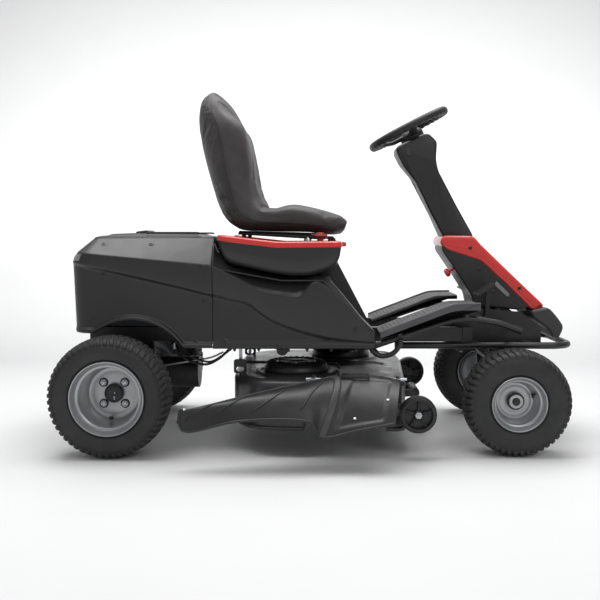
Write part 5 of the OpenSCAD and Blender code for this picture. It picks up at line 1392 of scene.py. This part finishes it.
rimShape = {
    "rear": [(0.1145, -0.030), (0.1145, 0.052), (0.1165, 0.058), (0.1195, 0.0605), (0.1212, 0.0640),
        (0.1212, 0.0672), (0.1196, 0.0690), (0.1172, 0.0682), (0.1150, 0.0640), (0.1118, 0.0560),
        (0.1090, 0.0480), (0.1060, 0.0440), (0.1010, 0.0425), (0.0985, 0.0400), (0.0965, 0.0300),
        (0.0945, 0.0000), (0.0925, -0.0340), (0.0895, -0.0440), (0.0845, -0.0495), (0.0780, -0.0515),
        (0.0700, -0.0500), (0.0640, -0.0495), (0.0300, -0.0495), (0.0250, -0.0505), (0.0250, -0.0560),
        (0.0880, -0.0560), (0.0960, -0.0500), (0.0985, -0.0300)],
    "front": [(0.0840, -0.030), (0.0840, 0.0430), (0.0862, 0.0495), (0.0890, 0.0525), (0.0902, 0.0560),
        (0.0902, 0.0590), (0.0888, 0.0605), (0.0866, 0.0598), (0.0842, 0.0560), (0.0815, 0.0480),
        (0.0792, 0.0410), (0.0762, 0.0375), (0.0722, 0.0360), (0.0700, 0.0330), (0.0682, 0.0200),
        (0.0665, 0.0020), (0.0640, -0.0080), (0.0590, -0.0130), (0.0530, -0.0140), (0.0480, -0.0120),
        (0.0420, -0.0125), (0.0310, -0.0140), (0.0250, -0.0135), (0.0235, -0.0100), (0.0232, 0.0060),
        (0.0220, 0.0075), (0.0150, 0.0075), (0.0112, 0.0070), (0.0112, -0.0180), (0.0620, -0.0185),
        (0.0700, -0.0120), (0.0720, -0.0050)],
}


def makeRim(node, body, label, kind, side):
    centre = middleOf(node) - machine
    axis = (0, side, 0)

    def place(a, r, out):
        # a point of the wheel: its angle, its radius and how far out it stands
        return centre[0] + r * math.cos(a), centre[1] + side * out, centre[2] + r * math.sin(a)

    turned("rim" + label, rimShape[kind], centre, axis, body, "rimPaint", sides=128, loop=True,
           replaces=(node,), sharp=30)
    # the inboard half of the barrel
    inboard = [(0.1145, -0.030), (0.1145, -0.052), (0.1165, -0.058), (0.1195, -0.0605), (0.1212, -0.0640),
            (0.1212, -0.0672), (0.1190, -0.0690), (0.1120, -0.0560), (0.1095, -0.0400), (0.1095, -0.0300)]
    scale = 1.0 if kind == "rear" else 0.745
    pull = 1.0 if kind == "rear" else 0.875
    turned("rimInboard" + label, [(r * scale, y * pull) for r, y in inboard], centre, axis, body,
            "rimPaint", sides=96, loop=True, sharp=30)
    # the tyre valve: a rubber stem with a capped end, leaning out of the barrel
    at = -math.pi / 2 - 0.10 if kind == "rear" else 0.35
    stemRadius, stemOut = (0.0830, -0.040) if kind == "rear" else (0.0600, -0.006)
    turned("valve" + label, [(0.0, 0.0), (0.0056, 0.0), (0.0052, 0.006), (0.0040, 0.010), (0.0036, 0.020),
            (0.0042, 0.0205), (0.0042, 0.029), (0.0034, 0.0305), (0.0, 0.031)],
            place(at, stemRadius, stemOut), (-0.25 * math.cos(at), side * 0.97, -0.25 * math.sin(at)), body,
            "nylonBlack", sides=20)
    if kind == "rear":
        makeLugs(body, label, side, place)
        softHub(centre, body, label, side)
    else:
        turned("hubEnd" + label, [(0.0, 0.0125), (0.0070, 0.0125), (0.0092, 0.0110), (0.0098, 0.0075),
                (0.0145, 0.0073), (0.0150, 0.0060), (0.0150, 0.0040), (0.0, 0.0040)], centre, axis, body,
                "blackSteel", sides=40)
        turned("hubGasket" + label, [(0.0236, -0.006), (0.0275, -0.006), (0.0285, -0.004), (0.0285, 0.000),
                (0.0270, 0.0020), (0.0236, 0.0020)], centre, axis, body, "blackPlastic", sides=64,
                loop=True)


def makeLugs(body, label, side, place):
    # four wheel nuts with cone seats, each on a flat black ring: painted shade standing for the dimple round it
    axis = (0, side, 0)
    nuts = []
    for i in range(4):
        a = math.radians(45 + 90 * i)
        nuts.append(turned(f"nut{label}{i}", [(0.0, 0.0125), (0.0040, 0.0122), (0.0070, 0.0110),
                (0.0088, 0.0085), (0.0092, 0.0000), (0.0, 0.0000)], place(a, 0.050, -0.0495), axis, body,
                "zincSteel", sides=6, sharp=25))
        nuts.append(turned(f"nutSeat{label}{i}", [(0.0060, 0.0032), (0.0095, 0.0032), (0.0108, 0.0018),
                (0.0112, 0.0), (0.0060, 0.0)], place(a, 0.050, -0.0495), axis, body, "zincSteel", sides=32,
                loop=True))
        # painted shade: a thin black ring on the flat wheel face in place of the dimple's recess
        turned(f"nutDimple{label}{i}", [(0.0113, 0.0006), (0.0150, 0.0008), (0.0158, 0.0002),
                (0.0158, -0.001), (0.0113, -0.001)], place(a, 0.050, -0.0495), axis, body, "motorBlack",
                sides=40, loop=True)
    joined("wheelNuts" + label, nuts)


def softHub(centre, body, label, side):
    # the black cap over the axle end, with a skirt and a small arrow-like mark
    profile = [(0.0240, -0.0495), (0.0305, -0.0495), (0.0310, -0.0480), (0.0306, -0.0360),
            (0.0290, -0.0325), (0.0255, -0.0305), (0.0180, -0.0293), (0.0165, -0.0300), (0.0, -0.0296)]
    turned("hubCap" + label, profile, centre, (0, side, 0), body, "blackPlastic", sides=72,
           replaces=("hub_cap_" + label[4:].lower(),), sharp=28)
    marks = []
    for i, (r, a, size) in enumerate(((0.006, 0.6, 0.0022), (0.012, -1.3, 0.0026), (0.018, -1.35, 0.0022))):
        at = (centre[0] + r * math.cos(a), centre[1] - side * 0.0297, centre[2] + r * math.sin(a))
        marks.append(turned(f"capMark{label}{i}", [(0.0, 0.0008), (size * 0.7, 0.0007), (size, 0.0002),
                (size, -0.001), (0.0, -0.001)], at, (0, side, 0), body, "zincSteel", sides=16))
    joined("capMarks" + label, marks)


for end, rimRadius in (("rear", 0.121), ("front", 0.090)):
    for label, side in (("right", -1), ("left", 1)):
        full = end + label.capitalize()
        makeTyre(f"{end}_tyre_{label}", f"{end}_wheel_{label}", full, rimRadius)
        makeRim(f"{end}_rim_{label}", f"{end}_wheel_{label}", full, end, side)
print("wheels ready")


# ---- seat ----
# A bucket in one piece. Each section runs from the back of the shell to the front of the padding;
# sections climb from the cushion's front edge, round the corner and up the backrest.
seatShape = {
    "back": [(0.760, 0.733), (0.720, 0.7240), (0.645, 0.731), (0.560, 0.733), (0.470, 0.735),
        (0.410, 0.738), (0.372, 0.752), (0.352, 0.791), (0.338, 0.840), (0.325, 0.890), (0.300, 0.980),
        (0.280, 1.085), (0.264, 1.150), (0.268, 1.195), (0.284, 1.222)],
    "face": [(0.781, 0.772), (0.738, 0.793), (0.650, 0.818), (0.588, 0.828), (0.535, 0.815), (0.500, 0.818),
        (0.482, 0.833), (0.463, 0.860), (0.452, 0.892), (0.447, 0.915), (0.445, 0.975), (0.424, 1.085),
        (0.376, 1.145), (0.344, 1.198), (0.318, 1.226)],
    "half": [0.190, 0.214, 0.230, 0.233, 0.234, 0.234, 0.234, 0.234, 0.232, 0.230, 0.222, 0.210, 0.182,
        0.142, 0.085],
    "dish": [0.000, 0.008, 0.020, 0.028, 0.030, 0.024, 0.020, 0.020, 0.022, 0.024, 0.026, 0.022, 0.010,
        0.004, 0.000],
    "voxel": 0.0055, "pressure": 4.0, "cap": 0.022, "settle": 18,
}


def seatSection(t, count, grow=0.0):
    # the section at the heights t: a closed ring, square-shouldered across and dished in the middle
    s = seatShape
    fine = np.linspace(0, 1, 300)
    at = [np.interp(t, fine, throughPoints(np.array(s[k])[:, i], 300)) for k in ("back", "face")
            for i in (0, 1)]
    half = np.interp(t, fine, throughPoints(np.array(s["half"]), 300)) + grow
    dish = np.interp(t, fine, throughPoints(np.array(s["dish"]), 300))
    angle = np.linspace(0, 2 * math.pi, count, endpoint=False)[None]
    c, n = np.cos(angle), np.sin(angle)
    across = np.sign(c) * np.abs(c) ** 0.42
    depth = 0.5 + 0.5 * np.sign(n) * np.abs(n) ** 0.55
    back = np.stack([at[0], at[1]], -1)[:, None]
    face = np.stack([at[2], at[3]], -1)[:, None]
    thick = np.linalg.norm(face - back, axis=-1)
    hollow = dish[:, None] * np.clip(1 - (np.abs(across) / 0.72) ** 2.6, 0, 1) * (n > 0) / thick
    place = back + (face - back) * np.clip(depth - hollow * (n > 0), 0, 1)[..., None]
    outward = (face - back) / thick[..., None]
    place = place + outward * grow * (depth * 2 - 1)[..., None]
    return np.stack([place[..., 0], across * half[:, None], place[..., 1]], -1)


def makeSeat():
    rows, cols = 110, 96
    t = np.linspace(0, 1, rows)
    grid = seatSection(t, cols)
    # close both ends with domed caps
    first = grid[0].mean(0) + np.array([0.006, 0, 0.002])
    last = grid[-1].mean(0) + np.array([-0.002, 0, 0.008])
    lead = np.stack([first + (grid[0] - first) * f + np.array([0.004 * (1 - f), 0, 0])
            for f in (0.05, 0.5, 0.85)])
    tail = np.stack([last + (grid[-1] - last) * f for f in (0.85, 0.5, 0.05)])
    grid = np.concatenate([lead, grid, tail])
    faces = gridFaces(len(grid), cols, wrapCols=True).tolist()
    faces += [list(range(cols))[::-1], list(range((len(grid) - 1) * cols, len(grid) * cols))]
    cushion = makePiece("seatCushion", grid, faces, "seat", "seatVinyl", ("seat_cushion",), sharp=80)
    seam = seatSeam()
    padSeat(cushion, seam)
    makeSeatSeams(cushion, seam)


def seatSeam():
    # the seam's line on the flank, as side points from the head down and forward to the cushion's nose
    return throughPoints([(0.306, 1.205), (0.312, 1.150), (0.336, 1.085), (0.356, 0.980), (0.376, 0.895),
            (0.392, 0.835), (0.420, 0.790), (0.470, 0.768), (0.560, 0.762), (0.660, 0.756), (0.735, 0.752),
            (0.764, 0.752)], 160)


def subdivide(piece):
    smooth = piece.modifiers.new("smooth", "SUBSURF")
    smooth.levels = 1
    smooth.render_levels = 1


def padSeat(cushion, seam):
    # blow the cover up by a few millimetres while the seam line and the underside stay put
    s = seatShape
    remesh = cushion.modifiers.new("remesh", "REMESH")
    remesh.mode = "VOXEL"
    remesh.voxel_size = s["voxel"]
    applyLast(cushion, "remesh")
    mesh = cushion.data
    points = np.empty(len(mesh.vertices) * 3)
    mesh.vertices.foreach_get("co", points)
    points = points.reshape(-1, 3)
    rest = points - machine
    near = np.min(np.linalg.norm(rest[:, None, [0, 2]] - seam[None, ::4], axis=-1), axis=1)
    flank = np.abs(rest[:, 1]) > 0.045
    held = (near < 0.0065) & flank
    # tufting lines across the backrest and cushion, and the flat underside
    held |= (rest[:, 2] < 0.742) & (rest[:, 0] > 0.42) & (rest[:, 0] < 0.70)
    for x, z, reach in seatCreases():
        line = np.hypot(rest[:, 0] - x, rest[:, 2] - z) < 0.0055
        held |= line & (np.abs(rest[:, 1]) < reach)
    group = cushion.vertex_groups.new(name="held")
    group.add(np.nonzero(held)[0].tolist(), 1.0, "REPLACE")
    cloth = cushion.modifiers.new("cloth", "CLOTH")
    settings = cloth.settings
    settings.quality = 6
    settings.mass = 0.4
    settings.tension_stiffness = 18
    settings.compression_stiffness = 14
    settings.shear_stiffness = 8
    settings.bending_stiffness = 2.0
    settings.use_pressure = True
    settings.uniform_pressure_force = s["pressure"]
    settings.vertex_group_mass = "held"
    settings.effector_weights.gravity = 0
    cloth.collision_settings.use_collision = False
    cloth.point_cache.frame_start = 1
    cloth.point_cache.frame_end = s["settle"]
    scene = bpy.context.scene
    for number in range(1, s["settle"] + 1):
        scene.frame_set(number)
        bpy.context.view_layer.update()
    applyLast(cushion, "cloth")
    scene.frame_set(1)
    moved = np.empty(len(cushion.data.vertices) * 3)
    cushion.data.vertices.foreach_get("co", moved)
    shift = moved.reshape(-1, 3) - points
    size = np.linalg.norm(shift, axis=1, keepdims=True)
    kept = points + shift * np.minimum(1, s["cap"] / np.maximum(size, 1e-9))
    cushion.data.vertices.foreach_set("co", kept.ravel())
    cushion.vertex_groups.clear()
    print("seat padded: mean move", round(float(size.mean()) * 1000, 1), "mm, most",
          round(float(size.max()) * 1000, 1))
    subdivide(cushion)


def seatCreases():
    # short folds where the cushion turns down at its nose and where the backrest meets it
    return ((0.522, 0.800, 0.15), (0.716, 0.786, 0.10))


def applyLast(piece, name):
    bpy.context.view_layer.objects.active = piece
    with bpy.context.temp_override(object=piece, active_object=piece):
        bpy.ops.object.modifier_apply(modifier=name)
    mesh = piece.data
    mesh.polygons.foreach_set("use_smooth", np.ones(len(mesh.polygons), bool))


def makeSeatSeams(cushion, seam):
    # two thin welts on the flanks, laid on the padded surface
    graph = bpy.context.evaluated_depsgraph_get()
    tree = BVHTree.FromObject(cushion, graph)
    for side in (-1, 1):
        path = []
        for x, z in seam[::2]:
            start = Vector((x, side * 0.40, z)) + Vector(machine)
            hit = tree.ray_cast(start, Vector((0, -side, 0)))[0]
            if hit is not None:
                path.append(np.array(hit) - machine)
        path = np.array(path)
        path = path + np.array([0, side * 0.0002, 0])
        label = sideName(side)
        tube("seatSeam" + label, path, 0.0017, "seat", "blackPlastic", sides=8, upward=(0, 1, 0))
    # a moulded skirt under the cushion, which hides the shell's fixing
    moulded("seatSkirt", [(0.405, 0.7355), (0.560, 0.7315), (0.690, 0.7275), (0.690, 0.7235),
            (0.560, 0.7270), (0.405, 0.7300)], 0.188, 0.003, "seat", "blackPlastic", corner=0.002, steps=4)


makeSeat()
print("seat ready")


# ---- fastenings, leads and small fittings ----
def surfaceAt(piece, x, z, side):
    # where a line from the side meets a piece, and the surface's direction there
    graph = bpy.context.evaluated_depsgraph_get()
    tree = BVHTree.FromObject(piece, graph)
    hit, normal, _, _ = tree.ray_cast(Vector((x, side * 0.6, z)) + Vector(machine), Vector((0, -side, 0)))
    if hit is None:
        return None, None
    normal = np.array(normal)
    return np.array(hit) - machine, normal if normal[1] * side > 0 else -normal


bodyScrews = {
    "rearFender": [(-0.036, 0.690), (-0.083, 0.435), (0.275, 0.370), (-0.028, 0.590), (0.296, 0.617),
        (0.303, 0.500), (0.120, 0.690)],
    "midFender": [(0.548, 0.357), (0.800, 0.412), (0.372, 0.372)],
}


def makeBodyScrews():
    for side, label in ((-1, "Right"), (1, "Left")):
        heads = []
        for piece, places in bodyScrews.items():
            source = bpy.data.objects[piece + label]
            for i, (x, z) in enumerate(places):
                at, normal = surfaceAt(source, x, z, side)
                if at is None:
                    continue
                # a shallow washer ring, then the recessed head inside it
                heads.append(turned(f"{piece}Screw{label}{i}",
                        [(0.0, 0.0008), (0.0024, 0.0008), (0.0028, 0.0024), (0.0052, 0.0022),
                        (0.0066, 0.0012), (0.0082, 0.0010), (0.0088, 0.0003), (0.0088, -0.0012),
                        (0.0, -0.0012)], at, normal, "frame", "blackSteel", sides=20))
        joined("bodyScrews" + label, heads)


def makeUnderBody():
    # control rods and leads along the right rail, between the rear wheel and the lift arm
    routes = {"brakeRod": ([(0.150, 0.272), (0.233, 0.286), (0.303, 0.298), (0.350, 0.318)], -0.205, 0.0032,
            "zincSteel"), "leadA": ([(0.180, 0.322), (0.235, 0.288), (0.290, 0.276), (0.335, 0.296),
            (0.372, 0.330)], -0.212, 0.0042, "nylonBlack"), "leadB": ([(0.165, 0.334), (0.230, 0.306),
            (0.300, 0.286), (0.345, 0.306), (0.382, 0.334)], -0.218, 0.0036, "nylonBlack")}
    for name, (points, y, radius, finish) in routes.items():
        path = throughPoints([(x, y, z) for x, z in points], 60)
        tube(name, path, radius, "frame", finish, sides=12, upward=(0, 1, 0))
    clips = [moulded(f"clip{i}", [(x - 0.006, 0.326), (x + 0.006, 0.326), (x + 0.006, 0.350),
            (x - 0.006, 0.350)], 0.020, 0.001, "frame", "blackPlastic", corner=0.002, middle=-0.214,
            steps=3) for i, x in enumerate((0.176, 0.374))]
    joined("leadClips", clips)
    # folded lower edge of the mid fenders with its row of clips
    studs = []
    for side in (-1, 1):
        for x in np.linspace(0.40, 0.80, 6):
            studs.append(turned(f"stud{side}{x:.2f}", [(0.0, -0.010), (0.0035, -0.009), (0.0042, -0.004),
                    (0.0060, -0.0035), (0.0060, -0.0010), (0.0, -0.0010)], (x, side * 0.318, 0.3455),
                    (0, 0, 1), "frame", "blackPlastic", sides=16))
    joined("edgeStuds", studs)


def makeLamps():
    # tail lamps: strips that follow the body's rear corner, from the tail round onto the flank
    s = bodyShape
    height = np.linspace(0, 1, 9)[:, None]
    z = 0.636 + 0.022 * height
    inside = 0.005 + 0.020 * (z - 0.629) / 0.038 - 0.0025 * np.sin(math.pi * height)
    r = s["cornerRadius"] - 0.55 * inside
    run = np.linspace(0, 1, 40)[None]
    angle = math.pi / 2 - np.clip((run - 0.4) / 0.6, 0, 1) * math.radians(58)
    wide = s["side"] - 0.003 - r
    y = np.where(run < 0.4, 0.215 + (wide - 0.215) * run / 0.4, wide + r * np.cos(angle))
    x = s["tail"] + inside + r - r * np.sin(angle) - 0.002
    grid = np.stack(np.broadcast_arrays(x, y, z), -1)
    for side, label in ((-1, "Right"), (1, "Left")):
        lens = makePiece("tailLamp" + label, grid * (1, side, 1), gridFaces(9, 40), "frame", "lampLens",
                outward=(-1, 0, 0))
        addWall(lens, 0.003)
        # headlamps set in the cheeks of the steering housing
        moulded("headlamp" + label, ahead([(-0.020, 0.558), (0.028, 0.512), (0.019, 0.502),
                (-0.029, 0.546)]), 0.0035, 0.0015, "frame", "lampLens", corner=0.005, middle=side * 0.0960)
        moulded("lampBezel" + label, ahead([(-0.024, 0.563), (0.034, 0.509), (0.021, 0.496),
                (-0.036, 0.545)]), 0.0020, 0.0010, "frame", "blackSteel", corner=0.006,
                middle=side * 0.0955)
    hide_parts("lamps")


makeBodyScrews()
makeUnderBody()
makeLamps()
print("small fittings ready")


# ---- steel parts and castings, with softened edges ----
steelParts = {
    "frame_rails": ("blackSteel", "frame", 0.002), "frame_crossmembers": ("blackSteel", "frame", 0.0015),
    "front_frame": ("blackSteel", "frame", 0.0012), "hitch_plate": ("blackSteel", "frame", 0.0015),
    "battery_packs": ("batteryCase", "frame", 0.003), "motor_controller": ("castAlloy", "frame", 0.0015),
    "transaxle": ("castAlloy", "frame", 0.004), "seat_deck": ("bodyPlastic", "frame", 0.0015),
    "seat_rails": ("blackSteel", "seat_slide", 0.001),
    "seat_pan": ("blackSteel", "seat", 0.0012), "steering_shaft": ("zincSteel", "steering", 0.0008),
    "pinion_shaft": ("zincSteel", "pinion", 0.0004), "steering_sector": ("zincSteel", "sector", 0.0006),
    "tie_rod": ("greySteel", "tie", 0.001), "front_axle": ("blackSteel", "axle", 0.003),
    "spindle_right": ("greySteel", "knuckle_right", 0.001),
    "spindle_left": ("greySteel", "knuckle_left", 0.001),
    "rear_hub_right": ("zincSteel", "rear_wheel_right", 0.0008),
    "rear_hub_left": ("zincSteel", "rear_wheel_left", 0.0008),
    "blade_right": ("bladeSteel", "cutter_right", 0.0008),
    "blade_left": ("bladeSteel", "cutter_left", 0.0008),
    "lift_shaft": ("blackSteel", "lift", 0.001), "deck_hangers": ("zincSteel", "hangers", 0.001),
    "drive_pedal": ("blackPlastic", "pedal_drive", 0.002),
    "brake_pedal": ("blackPlastic", "pedal_brake", 0.002),
}


def makeSteelParts():
    for node, (finish, body, width) in steelParts.items():
        softened(node, finish, body, width)


makeSteelParts()
print("steel parts ready")
